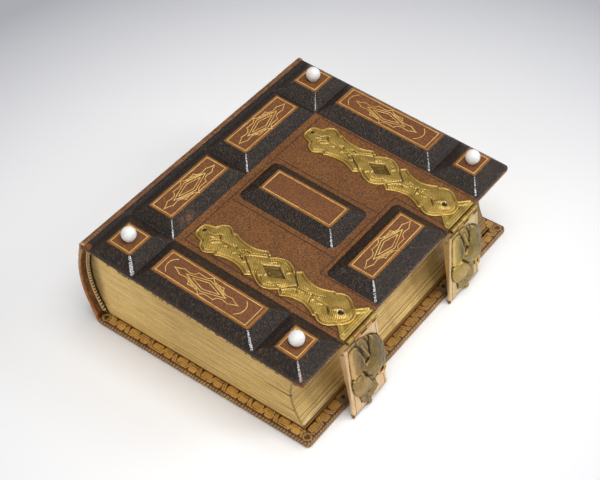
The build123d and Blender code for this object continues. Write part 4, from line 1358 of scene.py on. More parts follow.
strip("front_joint_leather", [(on_arc(0.45, 43.6), 43.6), (on_arc(0.22, 46.0), 46.0), (on_arc(-0.05, 48.4), 48.4), (-64.96, 50.5), (-64.62, 51.9), (-64.35, 53.2), (-63.95, 54.2), (-63.1, 54.72), (-62.1, 54.72), (-61.3, 54.62)],
      -HH + 0.15, HH - 0.15, 0.62, [M_SPINE], (-60, 50))
strip("back_joint_leather", [(on_arc(0.45, 11.4), 11.4), (on_arc(0.22, 9.0), 9.0), (on_arc(-0.05, 6.7), 6.7), (-64.96, 4.6), (-64.62, 3.3), (-64.2, 1.9), (-63.75, 0.95), (-63.2, 0.5)],
      -HH + 0.15, HH - 0.15, 0.62, [M_SPINE], (-60, 5))


# ------------------------------------------------------------------ page block: gilt edges of thick leaves
def page_block():
    lo = board_t + 0.4 + 0.3
    hi_cz = -(board_t + 0.4) - 0.3
    fx, _, fz = cover_to_row((W - 5.9, 0, hi_cz))
    px, _, pz = cover_to_row((1.6, 0, hi_cz))
    half = HH - square
    leaves = 39
    r = np.random.default_rng(41)
    th = 1 + 0.22 * r.standard_normal(leaves).clip(-1.6, 1.6)
    u_edge = np.concatenate([[0], np.cumsum(th)]) / th.sum()
    out = 0.10 * r.standard_normal(leaves).clip(-1.7, 1.7)
    prof = [(0.0, 0.0, 1.0), (0.10, 0.62, 0.55), (0.26, 0.93, 0.1), (0.5, 1.0, 0.0), (0.74, 0.93, 0.1), (0.90, 0.62, 0.55)]
    us, dep, gap, leaf = [], [], [], []
    for k in range(leaves):
        for f, d, g in prof:
            us.append(u_edge[k] + f * (u_edge[k + 1] - u_edge[k]))
            dep.append(d)
            gap.append(g)
            leaf.append(k + f)
    us.append(1.0)
    dep.append(0.8)
    gap.append(0.3)
    leaf.append(leaves - 0.5)
    us, dep, gap, leaf = map(np.array, (us, dep, gap, leaf))
    kk = np.clip(np.floor(leaf).astype(int), 0, leaves - 1)
    # path round three sides: s in (0, 1) tail face from spine to fore, (1, 2) fore-edge, (2, 3) head face back
    nt, nf = 96, 118
    tt = np.linspace(0, 1, nt)
    tt = np.concatenate([tt[:-1], [0.994, 1.0]])
    ff = np.linspace(0, 1, nf)
    ff = np.concatenate([[0.003], ff[1:-1], [0.997]])
    path = [(0, t) for t in tt] + [(1, t) for t in ff] + [(2, t) for t in tt[::-1]]
    S = np.array(path)
    n, m = len(S), len(us)

    def z_at(X, u):
        zb = lo
        f = np.clip((X - px) / (fx - px), -0.08, 1)
        zt = pz + (fz - pz) * f
        # leaves lie nearly flat at the bottom and fan up to the cover at the top
        return zb + (zt - zb) * u

    # spine side: rounded; fore side: hollow
    zmid = arc_cz
    U = us[None, :] * np.ones((n, 1))
    side, T = S[:, 0][:, None], S[:, 1][:, None]
    zs_ = lo + (pz - 1.2 - lo) * U
    x_sp = arc_cx - np.sqrt(np.maximum((arc_r - 3.6) ** 2 - (zs_ - zmid) ** 2, 1))
    # hollow fore-edge as an arc through its corners
    z_f = lo + (fz - lo) * U
    zc, xc0, xc1 = (lo + fz) / 2 - 2.0, 56.6, 50.6
    q2 = np.polyfit([lo, zc, fz], [56.6, 50.6, fx], 2)
    x_fo = np.polyval(q2, z_f)
    t_face = np.where(side == 1, 1.0, T)
    X = x_sp + (x_fo - x_sp) * t_face
    Z = z_at(X, U)
    Y = np.where(side == 0, -half, np.where(side == 2, half, -half + 2 * half * T))
    # gentle waves of the leaves, and each leaf's own small stand
    a_mm = np.where(side == 1, Y, X)
    P0 = np.stack([a_mm, U * 40, side * 50 + 0 * U], -1).reshape(-1, 3)
    wave = vnoise(P0 * (1, 0.35, 1), 17.0, 31).reshape(n, m)
    wave2 = vnoise(P0 * (1, 1.2, 1), 6.0, 37).reshape(n, m)
    edge_fade = np.clip(np.minimum(U, 1 - U) * 9, 0, 1)
    Z = Z + (0.22 * wave + 0.07 * wave2) * edge_fade
    depth = 0.34 * (dep[None, :] - 1)
    # the leaves are pressed tighter beside the spine
    near_spine = np.clip((X + 62) / 45, 0.25, 1) * np.where(side == 1, 1.0, 1.0)
    near_spine = np.where(side == 1, 1.15, near_spine)
    stand = out[kk][None, :] * np.where(side == 1, 1.3, 0.8) + 0.05 * wave2
    d = depth * near_spine + stand
    # cracks where sections part
    cr = np.exp(-((Z - 21.6 - 0.02 * (X - 44)) / 0.42) ** 2) * smooth01((X - 33) / 8) * (side == 0)
    cr2 = np.exp(-((Z - 12.5) / 0.35) ** 2) * smooth01((X - 36) / 12) * (side == 0) * 0.6
    d = d - 0.9 * cr - 0.5 * cr2
    cx_ = np.where(side == 0, 0.0, 0.0)
    X2 = X + np.where(side == 1, d, 0)
    Y2 = Y + np.where(side == 0, -d, np.where(side == 2, d, 0))
    # rounded fore corners
    fc = np.clip(1 - (1 - T) * 118 / 0.9, 0, 1) * (side != 1)
    fc1 = np.clip(1 - np.minimum(T, 1 - T) * 2 * half / 0.9, 0, 1) * (side == 1)
    Y2 = Y2 + np.where(side == 0, 0.4 * fc ** 2, np.where(side == 2, -0.4 * fc ** 2, 0))
    X2 = X2 - 0.35 * fc1 ** 2
    V = np.stack([X2, Y2, Z], -1)
    G = np.clip(gap[None, :] * near_spine * (0.85 + 0.3 * wave) + cr * 1.2 + cr2, 0, 1.3)
    corner = np.maximum(fc, fc1) * 0.8 * np.ones((n, m))
    pg = np.stack([np.where(side == 1, Y + 300, X), leaf[None, :] * np.ones((n, 1)), kk[None, :] * 3.7 + side * 11], -1)
    quads = grid_quads(n, m)
    nv = n * m
    V = V.reshape(-1, 3)
    A = {"gap": G.ravel(), "corner": corner.ravel(), "pg": pg.reshape(-1, 3)}
    # close: spine side wall between the two faces' first columns, bottom and top fans
    i0, i1 = 0, n - 1
    wall = [(i1 * m + j, i0 * m + j, i0 * m + j + 1, i1 * m + j + 1) for j in range(m - 1)]
    # bottom and top: strips pairing the tail and head faces, then the fore-edge
    def cap(j):
        out_q = []
        k = len(tt)
        for i in range(k - 1):
            a, b2 = i * m + j, (i + 1) * m + j
            c, d2 = (n - 1 - i - 1) * m + j, (n - 1 - i) * m + j
            out_q.append((a, b2, c, d2))
        return out_q
    Q = np.vstack([quads, np.array(wall), np.array(cap(0)), np.array(cap(m - 1))])
    # the fore-edge run beyond the paired columns
    k = len(tt)
    fan = []
    for j in (0, m - 1):
        first, last = (k - 1) * m + j, (n - k) * m + j
        ids = [first] + [i * m + j for i in range(k, n - k)] + [last]
        c = ids[len(ids) // 2]
        for a, b2 in zip(ids[:-1], ids[1:]):
            if a != c and b2 != c:
                fan.append((c, a, b2))
    ob = make_mesh("page_block_leaves", V, Q, np.array(fan), A, "block", [M_PAGES])
    bm = bmesh.new()
    bm.from_mesh(ob.data)
    bmesh.ops.recalc_face_normals(bm, faces=bm.faces)
    bm.to_mesh(ob.data)
    bm.free()
    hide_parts("page_block")
    return ob


page_block()


def leaf_sheet(name, node, body, x0, x1, y0, y1, z0, thick, to_row, amp, mats, curl=0.0):
    """A sheet of paper that isn't quite flat."""
    xs_ = lines_with([x0, x0 + 1, x1 - 1, x1], 4.0)
    ys_ = lines_with([y0, y0 + 1, y1 - 1, y1], 4.0)
    X, Y = np.meshgrid(xs_, ys_, indexing="ij")
    w = amp * vnoise(np.stack([X, Y, X * 0], -1).reshape(-1, 3), 23.0, 51).reshape(X.shape)
    w = w * np.clip(np.minimum(np.minimum(X - x0, x1 - X), np.minimum(Y - y0, y1 - Y)) / 12, 0.25, 1)
    edge = 0.18 * vnoise(np.stack([X, Y, X * 0], -1).reshape(-1, 3), 3.0, 52).reshape(X.shape)
    on = (X == x0) | (X == x1) | (Y == y0) | (Y == y1)
    X2 = X + np.where(on, edge, 0)
    V = np.vstack([np.stack([X2, Y, z0 + w + thick], -1).reshape(-1, 3), np.stack([X2, Y, z0 + w], -1).reshape(-1, 3)])
    n, m = X.shape
    nm = n * m
    loop = [(i, 0) for i in range(n)] + [(n - 1, j) for j in range(1, m)] + [(i, m - 1) for i in range(n - 2, -1, -1)] + [(0, j) for j in range(m - 2, 0, -1)]
    li = [i * m + j for i, j in loop]
    side = [(a, a + nm, b2 + nm, b2) for a, b2 in zip(li, li[1:] + li[:1])]
    Q = np.vstack([grid_quads(n, m), grid_quads(n, m, flip=True, base=nm), np.array(side)])
    ob = make_mesh(name, to_row(V), Q, None, None, body, mats)
    bm = bmesh.new()
    bm.from_mesh(ob.data)
    bmesh.ops.recalc_face_normals(bm, faces=bm.faces)
    bm.to_mesh(ob.data)
    bm.free()
    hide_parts(node)
    return ob


ident = lambda P: np.asarray(P, float)
half = HH - square
leaf_sheet("flyleaf_back_sheet", "flyleaf_back", "block", -62.6, 56.95, -half + 0.1, half - 0.1, board_t + 0.40, 0.28, ident, 0.0, [M_FLY])
leaf_sheet("flyleaf_front_sheet", "flyleaf_front", "block", 1.7, W - 5.2, -half + 0.1, half - 0.1, -(board_t + 0.4) - 0.3, 0.28, cover_to_row, 0.0, [M_FLY])
leaf_sheet("pastedown_back_sheet", "pastedown_back", "back", -W / 2 + 0.6, 57.15, -half + 0.25, half - 0.25, board_t - 0.02, 0.36, ident, 0.02, [M_FLY])
leaf_sheet("pastedown_front_sheet", "pastedown_front", "front", 0.6, W - square - 0.6, -half + 0.4, half - 0.4, -board_t - 0.28, 0.30, cover_to_row, 0.02, [M_PAPER])


def headband(name, node, y_mid):
    """A worked headband: a core with thread wound round it, bead on bead."""
    z = np.linspace(4.7, 48.3, 350)
    X = np.array([on_arc(1.15 + 0.62 + 0.62, v) for v in z])
    pts = np.stack([X, np.full_like(z, y_mid), z], -1)
    tan = np.gradient(pts, axis=0)
    L = np.concatenate([[0], np.cumsum(np.linalg.norm(np.diff(pts, axis=0), axis=1))])
    tan /= np.linalg.norm(tan, axis=1)[:, None]
    side = np.array([0, 1.0, 0])
    other = np.cross(tan, side)
    k = 14
    bead = L / 0.92 * 2 * math.pi
    fade = np.clip(np.minimum(L, L[-1] - L) / 0.8, 0.05, 1) ** 0.5
    V = []
    B = []
    for i in range(k):
        a = 2 * math.pi * i / k
        tw = bead + a * 1.0
        rad = 0.62 * (1 + 0.16 * np.abs(np.sin(tw / 2)) - 0.08) * fade
        V.append(pts + (side * math.sin(a))[None, :] * rad[:, None] + other * (math.cos(a) * rad * 1.05)[:, None])
        B.append(tw / 2)
    V = np.stack(V, 1)
    n = len(z)
    Q = grid_quads(n, k, wrap_v=True)
    V = V.reshape(-1, 3)
    caps = []
    for i in (0, n - 1):
        for j in range(1, k - 1):
            caps.append((i * k, i * k + j, i * k + j + 1))
    # the pale cord laid between the band and the leather
    X2 = np.array([on_arc(1.15 + 0.30, v) for v in z])
    nb, k2 = len(V), 8
    C = []
    for j in range(k2):
        a = 2 * math.pi * j / k2
        C.append(np.stack([X2, np.full_like(z, y_mid), z], -1) + (side * math.sin(a))[None, :] * (0.72 * fade)[:, None] + other * (math.cos(a) * 0.30 * fade)[:, None])
    C = np.stack(C, 1).reshape(-1, 3)
    Q = np.vstack([Q, grid_quads(n, k2, wrap_v=True, base=nb)])
    for i in (0, n - 1):
        for j in range(1, k2 - 1):
            caps.append((nb + i * k2, nb + i * k2 + j, nb + i * k2 + j + 1))
    V = np.vstack([V, C])
    beads = np.concatenate([np.stack(B, 1).ravel(), np.full(len(C), math.pi / 2)])
    ob = make_mesh(name, V, Q, caps, {"bead": beads}, "block", [M_THREAD])
    bm = bmesh.new()
    bm.from_mesh(ob.data)
    bmesh.ops.recalc_face_normals(bm, faces=bm.faces)
    bm.to_mesh(ob.data)
    bm.free()
    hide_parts(node)


headband("headband_tail_thread", "headband_tail", -half - 0.72)
headband("headband_head_thread", "headband_head", half + 0.72)


# ------------------------------------------------------------------ ball studs
def ball(name, node, cx, cy):
    """A turned ball on a small collar; its outline isn't quite true."""
    prof = [(2.35, 0.0), (2.42, 0.12), (2.35, 0.26), (2.12, 0.36)]
    a0 = math.asin(min(1, 2.12 / 3.6))
    for a in np.linspace(math.pi - a0, 0, 26):
        prof.append((3.6 * math.sin(a), 3.0 + 3.6 * math.cos(a)))
    prof = [p for i, p in enumerate(prof) if i < 4 or p[1] > 0.36]
    k = 56
    V, rows = [], len(prof)
    for r_, z in prof:
        for i in range(k):
            a = 2 * math.pi * i / k
            V.append((cx + r_ * math.cos(a), cy + r_ * math.sin(a), panel_h + z))
    V = np.array(V)
    c = np.array([cx, cy, panel_h + 3.0])
    d = V - c
    V = c + d * (1 + 0.006 * vnoise(V, 2.6, 61)[:, None])
    Q = grid_quads(rows, k, wrap_v=True)
    ob = make_mesh(name, cover_to_row(V), Q, None, None, "front", [M_STUD])
    bm = bmesh.new()
    bm.from_mesh(ob.data)
    bmesh.ops.remove_doubles(bm, verts=bm.verts, dist=2e-6)
    bmesh.ops.recalc_face_normals(bm, faces=bm.faces)
    bm.to_mesh(ob.data)
    bm.free()
    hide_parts(node)


for nme, (sx, sy) in {"stud_tail_spine": (18.7, ly), "stud_tail_fore": (113.5, ly), "stud_head_spine": (18.7, -ly), "stud_head_fore": (113.5, -ly)}.items():
    ball(nme + "_ball", nme, sx, sy)


# ------------------------------------------------------------------ pressed brass straps
strap_runs = [
    [(36.1, 0), (36.6, 2.9), (38.2, 4.5), (40.2, 5.1), (41.9, 5.6)],
    [(41.9, 5.6), (43.4, 8.3), (46.4, 10.0), (49.0, 9.3), (51.2, 7.7)],
    [(51.2, 7.7), (52.6, 8.4)],
    [(52.6, 8.4), (56.0, 7.0), (61.0, 6.4), (65.5, 7.0), (70.3, 9.1)],
    [(70.3, 9.1), (73.4, 6.7)],
    [(73.4, 6.7), (76.0, 8.5), (80.2, 9.9), (84.4, 8.6), (86.9, 6.7)],
    [(86.9, 6.7), (89.8, 9.0)],
    [(89.8, 9.0), (94.0, 6.7), (99.5, 5.8), (104.0, 6.9), (107.6, 8.7)],
    [(107.6, 8.7), (108.8, 8.3)],
    [(108.8, 8.3), (110.8, 9.6), (113.6, 10.1), (116.8, 8.9), (119.2, 6.8)],
    [(119.2, 6.8), (121.4, 5.2), (123.1, 2.8), (123.7, 0)],
]
half_line = []
for run in strap_runs:
    seg = catmull(run, 0.35) if len(run) > 2 else np.array(run, float)
    half_line += [tuple(p) for p in (seg if not half_line else seg[1:])]
half_line = np.array(half_line)


def bead_at(d, c, w):
    """A rounded ridge of half-width w at distance c."""
    t = np.clip(1 - ((d - c) / w) ** 2, 0, 1)
    return np.sqrt(t)


def dab(x, v, cx, cv, rx, rv, turn=0.0):
    """A rounded leaf-like bump or pit, 1 at its centre."""
    a = math.radians(turn)
    u = (x - cx) * math.cos(a) + (v - cv) * math.sin(a)
    w = -(x - cx) * math.sin(a) + (v - cv) * math.cos(a)
    return np.clip(1 - (u / rx) ** 2 - (w / rv) ** 2, 0, 1) ** 0.7


def near_line(P, pts, w):
    return np.clip(1 - seg_dist(P, pts) / w, 0, 1)


def strap(name, node, yc, seed):
    xs0, xs1 = 36.1, 123.7
    n, m = 430, 92
    # columns crowd at the rounded ends
    t = np.linspace(0, 1, n)
    x = xs0 + (xs1 - xs0) * (t - 0.012 * np.sin(2 * math.pi * t) * 0)
    x[0], x[-1] = xs0 + 0.02, xs1 - 0.02
    x = np.unique(np.concatenate([x, xs0 + np.array([0.05, 0.1, 0.2, 0.4, 0.6]), xs1 - np.array([0.05, 0.1, 0.2, 0.4, 0.6])]))
    n = len(x)
    order = np.argsort(half_line[:, 0], kind="stable")
    hw = np.interp(x, half_line[order, 0], half_line[order, 1])
    tv = np.linspace(-1, 1, m)
    tv = np.sign(tv) * (1 - (1 - np.abs(tv)) ** 1.15)
    X = x[:, None] * np.ones((1, m))
    Vv = hw[:, None] * tv[None, :]
    P = np.stack([X.ravel(), Vv.ravel()], -1)
    outline = np.vstack([half_line, half_line[::-1][1:-1] * (1, -1)])
    d = sd_poly(P, outline)
    d = np.maximum(d, 0)
    xx, vv = P[:, 0], P[:, 1]
    # sheet, rim bead, groove, raised body
    h = 0.42 + 0.46 * bead_at(d, 0.52, 0.48)
    body = smooth01((d - 1.20) / 0.75)
    h = h * (1 - body) + (1.06 + 0.34 * smooth01((d - 1.4) / 4.2)) * body
    h -= 0.10 * np.clip(1 - np.abs(d - 1.22) / 0.34, 0, 1)
    rel = 0.55 + 0.0 * h
    deep = np.zeros_like(h)

    def cut(pts, w, k, where=None):
        nonlocal h, deep
        g = near_line(P, pts, w)
        if where is not None:
            g = g * where
        h = h - k * smooth01(g * 1.2)
        deep = np.maximum(deep, 0.3 * smooth01(g * 1.3))

    def ridge(pts, w, k):
        nonlocal h
        g = near_line(P, pts, w)
        h = h + k * np.sqrt(g) * smooth01((d - 0.9) / 0.5)

    # interlace: rhombus ribbon over an oval ring
    cx, cv = 80.2, 0.1
    ux, uv = (xx - cx), (vv - cv)
    ring = np.hypot(ux / 7.0, uv / 9.9)
    left = xx < cx
    k_rhomb = np.where(left, np.abs(ux) / 16.6, np.abs(ux) / 12.8) + np.abs(uv) / np.where(left, 10.6, 12.4)
    k_in = np.where(left, np.abs(ux) / 6.6, np.abs(ux) / 6.4) + np.abs(uv) / 4.0
    inner = smooth01((1.06 - k_in) / 0.16)
    # ribbon surface: crowned between its two edges
    rib = smooth01((1.02 - k_rhomb) / 0.05) * (1 - inner)
    across = np.clip((k_in - 1.0) / 1.35, 0, 1)
    crown = 0.30 * np.sin(np.pi * np.clip(across, 0, 1)) ** 0.8
    h = h + rib * crown
    h = np.where(inner > 0, h * (1 - inner) + (0.36 + 0.10 * vnoise(np.stack([xx, vv, xx * 0], -1), 1.1, seed)) * inner, h)
    deep = np.maximum(deep, inner * 0.8)
    # the four outer grooves of the ribbon, deepest on the left
    cut([(64.2, 0.9), (67.0, 2.9), (70.2, 4.9), (73.3, 6.9)], 0.62, 0.62)
    cut([(64.0, -0.7), (67.0, -2.8), (70.3, -5.0), (73.3, -7.0)], 0.62, 0.60)
    cut([(86.9, 6.9), (89.2, 3.9), (91.0, 2.2), (93.2, 0.4)], 0.58, 0.60)
    cut([(86.9, -6.9), (89.4, -4.2), (91.4, -2.3), (93.2, -0.3)], 0.58, 0.55)
    ridge([(63.6, 0.2), (66.6, 2.1), (70.6, 4.5), (74.0, 6.6)], 0.5, 0.30)
    ridge([(63.4, -0.1), (66.6, -2.0)], 0.45, 0.22)
    ridge([(87.6, -6.4), (90.4, -4.0), (93.0, -1.9)], 0.55, 0.36)
    # ring's inner edge over and under the ribbon
    th_ = np.linspace(math.radians(38), math.radians(142), 20)
    cut([(cx + 6.4 * math.cos(a) * 0.98, cv + 7.0 * math.sin(a)) for a in th_], 0.34, 0.20)
    cut([(cx + 6.4 * math.cos(a) * 0.98, cv - 7.0 * math.sin(a)) for a in th_], 0.34, 0.20)
    # recess bar and tabs
    bar = dab(xx, vv, 83.6, -2.1, 4.3, 0.62, 30)
    h = np.where(bar > 0, np.maximum(h, 0.5 + 0.95 * bar ** 0.5), h)
    for bx, bv, rx, rv, tn in ((75.9, 3.5, 1.15, 0.7, 40), (85.7, 3.5, 0.75, 1.5, -25), (75.7, -5.2, 1.35, 0.75, 35), (86.0, -4.6, 1.3, 0.6, 35), (78.0, -3.3, 0.5, 1.3, 8)):
        h = h + 0.42 * dab(xx, vv, bx, bv, rx, rv, tn)
    for bx, bv, rx, rv, tn in ((77.3, 4.3, 1.7, 0.5, 30), (84.4, 4.5, 1.3, 0.45, -35)):
        h = h - 0.3 * dab(xx, vv, bx, bv, rx, rv, tn)
    # veins of the two leaves
    vein_l = [(40.0, 0.4), (42.0, 0.1), (46.0, -0.1), (52.0, 0.1), (57.5, 0.5), (63.4, 0.1)]
    vein_r = [(93.2, -0.2), (98.5, -0.3), (104.0, -0.6), (110.0, -0.7), (112.6, -1.2)]
    wander = 0.55 + 0.45 * noise1(xx, 2.6, seed + 5)
    cut(vein_l, 0.55, 0.34, wander)
    cut(vein_r, 0.60, 0.40, wander)
    # pits beside the veins, where the punch went deepest
    for bx, bv, rx, rv, tn, kk in ((48.0, 1.5, 2.1, 0.75, -42, 0.50), (57.8, 1.2, 1.3, 0.55, -35, 0.40), (64.0, 2.2, 2.2, 0.62, -14, 0.50), (63.4, -2.1, 1.1, 0.75, 20, 0.52), (54.4, -0.8, 1.2, 0.45, -35, 0.34),
                                   (46.8, -2.4, 1.6, 0.5, 42, 0.40), (101.4, 0.4, 0.8, 1.0, 0, 0.44), (102.0, -2.6, 0.5, 1.5, 12, 0.46), (111.5, -1.9, 2.0, 0.6, -35, 0.46), (94.6, -2.6, 1.2, 0.4, -30, 0.3)):
        g = dab(xx, vv, bx, bv, rx, rv, tn)
        h = h - kk * g
        deep = np.maximum(deep, 0.45 * g)
    cut([(60.6, 1.1), (62.6, 2.4), (65.8, 2.7)], 0.42, 0.42)
    cut([(61.0, -1.2), (63.6, -2.3), (65.6, -3.2)], 0.45, 0.46)
    cut([(45.0, 0.5), (46.6, 2.2), (48.6, 3.0)], 0.42, 0.30)
    cut([(46.2, -2.6), (47.6, -1.2), (49.6, -0.1)], 0.45, 0.34)
    cut([(102.5, 0.9), (104.6, 1.9), (106.8, 3.1)], 0.36, 0.26)
    cut([(109.8, -0.8), (111.3, -2.3), (113.0, -3.9)], 0.50, 0.42)
    cut([(101.3, -1.0), (102.4, -3.6)], 0.34, 0.30)
    for bx, bv, rx, rv, tn, kk in ((44.7, -0.9, 2.4, 0.5, 20, 0.34), (48.6, -2.3, 2.6, 0.62, 38, 0.46), (53.4, -1.2, 2.0, 0.5, 24, 0.24), (58.8, -1.9, 1.1, 0.62, 40, 0.4),
                                   (65.4, -3.2, 1.3, 0.8, 35, 0.46), (50.0, 2.2, 2.2, 0.55, -28, 0.2), (55.3, 1.9, 1.5, 0.5, -25, 0.22), (96.8, 1.6, 1.7, 0.52, 2, 0.46),
                                   (95.6, -1.5, 2.0, 0.5, 2, 0.34), (102.6, -2.2, 0.9, 1.25, -30, 0.44), (106.6, -1.9, 1.8, 0.5, 20, 0.26), (104.3, 0.8, 0.6, 0.6, 0, 0.24), (100.8, 1.2, 1.4, 0.45, 25, 0.2)):
        h = h + kk * dab(xx, vv, bx, bv, rx, rv, tn)
    # nails sunk in cups; the right one on a wedge-shaped boss
    boss = np.clip(1 - np.hypot((xx - 116.6) / 4.4, (vv + 0.6) / 3.2) , 0, 1)
    h = h + 0.50 * smooth01(boss * 2.0) * smooth01((d - 1) / 0.5)
    h = h + 0.30 * dab(xx, vv, 113.6, -0.6, 3.2, 1.1, 28)
    for nx, nv, nr in ((39.4, 0.5, 1.15), (117.2, -0.4, 1.45)):
        rr = np.hypot(xx - nx, vv - nv)
        h = h + 0.07 * bead_at(rr, nr + 0.45, 0.55)
        cup = smooth01((nr - rr) / 0.35)
        h = h * (1 - cup) + 0.48 * cup
        deep = np.maximum(deep, cup)
    # dents of hand-pressing
    h = h + 0.045 * vnoise(np.stack([xx, vv, xx * 0], -1), 2.1, seed + 1) * body + 0.02 * vnoise(np.stack([xx, vv, xx * 0], -1), 0.7, seed + 2)
    # the end rides on the hinge plate
    h = h + 0.30 * smooth01((xx - 118.2) / 2.0)
    # border sharp down to the leather
    e = np.clip(d / 0.16, 0, 1)
    h = h * (0.55 + 0.45 * np.sqrt(1 - (1 - e) ** 2))
    hg = h.reshape(n, m)
    top = np.stack([X, yc + Vv, hg], -1)
    low = top.copy()
    low[..., 2] = -0.05
    # the underside follows only near the rim; it lies on the leather
    V = np.vstack([top.reshape(-1, 3)])
    loop = [(i, 0) for i in range(n)] + [(n - 1, j) for j in range(1, m)] + [(i, m - 1) for i in range(n - 2, -1, -1)] + [(0, j) for j in range(m - 2, 0, -1)]
    li = np.array([i * m + j for i, j in loop])
    rim = low.reshape(-1, 3)[li]
    nb = len(V)
    V = np.vstack([V, rim])
    idx = np.arange(len(li)) + nb
    skirt = np.stack([li, idx, np.roll(idx, -1), np.roll(li, -1)], -1)
    # bottom: pairs across the strap
    bot = []
    for i in range(n - 1):
        a, b2 = i, i + 1                                  # v = -1 side, in loop order
        c0 = (n - 1) + (m - 1) + (n - 1 - i)              # v = +1 side, same column
        bot.append((idx[a], idx[b2], idx[(c0 - 1) % len(li)], idx[c0 % len(li)]))
    slope = np.gradient(hg, axis=0) ** 2 + np.gradient(hg, axis=1) ** 2
    low_pass = hg
    soft = hg.copy()
    for _ in range(14):
        p = np.pad(soft, 1, mode="edge")
        soft = (p[:-2, 1:-1] + p[2:, 1:-1] + p[1:-1, :-2] + p[1:-1, 2:] + 2 * soft) / 6
    relief = np.clip(0.52 + 1.5 * (hg - soft), 0, 1).ravel()
    relief = np.clip(relief - 0.55 * deep, 0, 1)
    hatch_on = np.clip(body * (1 - deep) * (1 - inner), 0, 1)
    hatch = np.where(vv > 0.15, xx * 0.86 + vv * 0.50, xx * 0.66 + vv * 0.75) * (math.pi / 0.74)
    pad = np.zeros(len(li))
    ob = make_mesh(name, cover_to_row(V), np.vstack([grid_quads(n, m), skirt, np.array(bot)]), None,
                   {"relief": np.concatenate([relief, pad + 0.3]), "hatch": np.concatenate([hatch, pad]), "hatch_on": np.concatenate([hatch_on, pad])},
                   "front", [M_STRAP])
    facing(ob, lambda c: np.tile((0.08, 0, 1.0), (len(c), 1)) * (np.abs(c[:, :1]) >= 0))
    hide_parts(node)
    return ob


strap("strap_tail_relief", "strap_tail", -41.5, 71)
strap("strap_head_relief", "strap_head", 40.1, 81)


def nail_heads():
    V, Q, T = [], [], []
    base = 0
    for yc, in ((-41.5,), (40.1,)):
        for nx, nv, nr, z in ((39.4, 0.5, 0.85, 0.62), (117.2, -0.4, 1.12, 0.86)):
            prof = [(nr * 0.98, z - 0.55), (nr, z - 0.1), (nr * 0.93, z + 0.08), (nr * 0.74, z + 0.22), (nr * 0.45, z + 0.30), (nr * 0.18, z + 0.32)]
            k = 22
            for r_, zz in prof:
                for i in range(k):
                    a = 2 * math.pi * i / k
                    V.append((nx + r_ * math.cos(a), yc + nv + r_ * math.sin(a), zz))
            Q.append(grid_quads(len(prof), k, wrap_v=True, base=base))
            V.append((nx, yc + nv, z + 0.30))
            c = base + len(prof) * k
            last = base + (len(prof) - 1) * k
            T += [(last + i, last + (i + 1) % k, c) for i in range(k)]
            base = c + 1
    V = np.array(V)
    V[:, 2] += 0.03 * vnoise(V, 0.6, 91)
    ob = make_mesh("strap_nail_heads", cover_to_row(V), np.vstack(Q), T, None, "front", [M_NAIL])
    bm = bmesh.new()
    bm.from_mesh(ob.data)
    bmesh.ops.recalc_face_normals(bm, faces=bm.faces)
    bm.to_mesh(ob.data)
    bm.free()
    facing(ob, lambda c: np.tile((0.08, 0, 1.0), (len(c), 1)))
    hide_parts("strap_nails")


nail_heads()


# ------------------------------------------------------------------ patches with a traced outline
def relief_patch(outline, step, height, bottom):
    """A closed relief over an outline in a plane. height(P, d) gives the upper surface, bottom its underside. Returns vertices, quads, and each vertex's plane point and upper flag."""
    outline = np.asarray(outline, float)
    lo_, hi_ = outline.min(0) - step, outline.max(0) + step
    gx = np.arange(lo_[0], hi_[0] + step, step)
    gy = np.arange(lo_[1], hi_[1] + step, step)
    X, Y = np.meshgrid(gx, gy, indexing="ij")
    n, m = X.shape
    P = np.stack([X.ravel(), Y.ravel()], -1)
    ins = inside(P, outline)
    cells = grid_quads(n, m)
    use = ins[cells].any(1)
    cells = cells[use]
    # move used outside points to the nearest outline point
    used = np.zeros(len(P), bool)
    used[cells.ravel()] = True
    move = used & ~ins
    Q = P[move]
    best = np.full(len(Q), 1e9)
    near = Q.copy()
    cl = np.vstack([outline, outline[:1]])
    for a, b in zip(cl[:-1], cl[1:]):
        d = b - a
        L = max(float(d @ d), 1e-12)
        t = np.clip(((Q - a) @ d) / L, 0, 1)
        c = a + t[:, None] * d
        dist = np.hypot(*(Q - c).T)
        k = dist < best
        best[k] = dist[k]
        near[k] = c[k]
    P2 = P.copy()
    P2[move] = near
    ids = -np.ones(len(P), int)
    ui = np.where(used)[0]
    ids[ui] = np.arange(len(ui))
    cells = ids[cells]
    P2 = P2[ui]
    d = np.where(inside(P2, outline), seg_dist(P2, outline, True), 0)
    top = np.column_stack([P2, height(P2, d)])
    bot = np.column_stack([P2, bottom(P2) if callable(bottom) else np.full(len(P2), bottom)])
    nv = len(P2)
    # boundary edges
    e = np.vstack([cells[:, [0, 1]], cells[:, [1, 2]], cells[:, [2, 3]], cells[:, [3, 0]]])
    key = {}
    for a, b in e:
        key[(a, b)] = key.get((a, b), 0) + 1
    edge = [(a, b) for (a, b) in key if (b, a) not in key]
    side = np.array([(a, a + nv, b + nv, b) for a, b in edge])
    quads = np.vstack([cells, cells[:, ::-1] + nv, side])
    return np.vstack([top, bot]), quads, np.vstack([P2, P2]), np.concatenate([np.ones(nv), np.zeros(nv)]), np.concatenate([d, d])


def tidy(ob):
    bm = bmesh.new()
    bm.from_mesh(ob.data)
    bmesh.ops.remove_doubles(bm, verts=bm.verts, dist=1e-6)
    bmesh.ops.dissolve_degenerate(bm, edges=bm.edges, dist=1e-6)
    bmesh.ops.recalc_face_normals(bm, faces=bm.faces)
    bm.to_mesh(ob.data)
    bm.free()
    me = ob.data
    me.polygons.foreach_set("use_smooth", np.ones(len(me.polygons), bool))


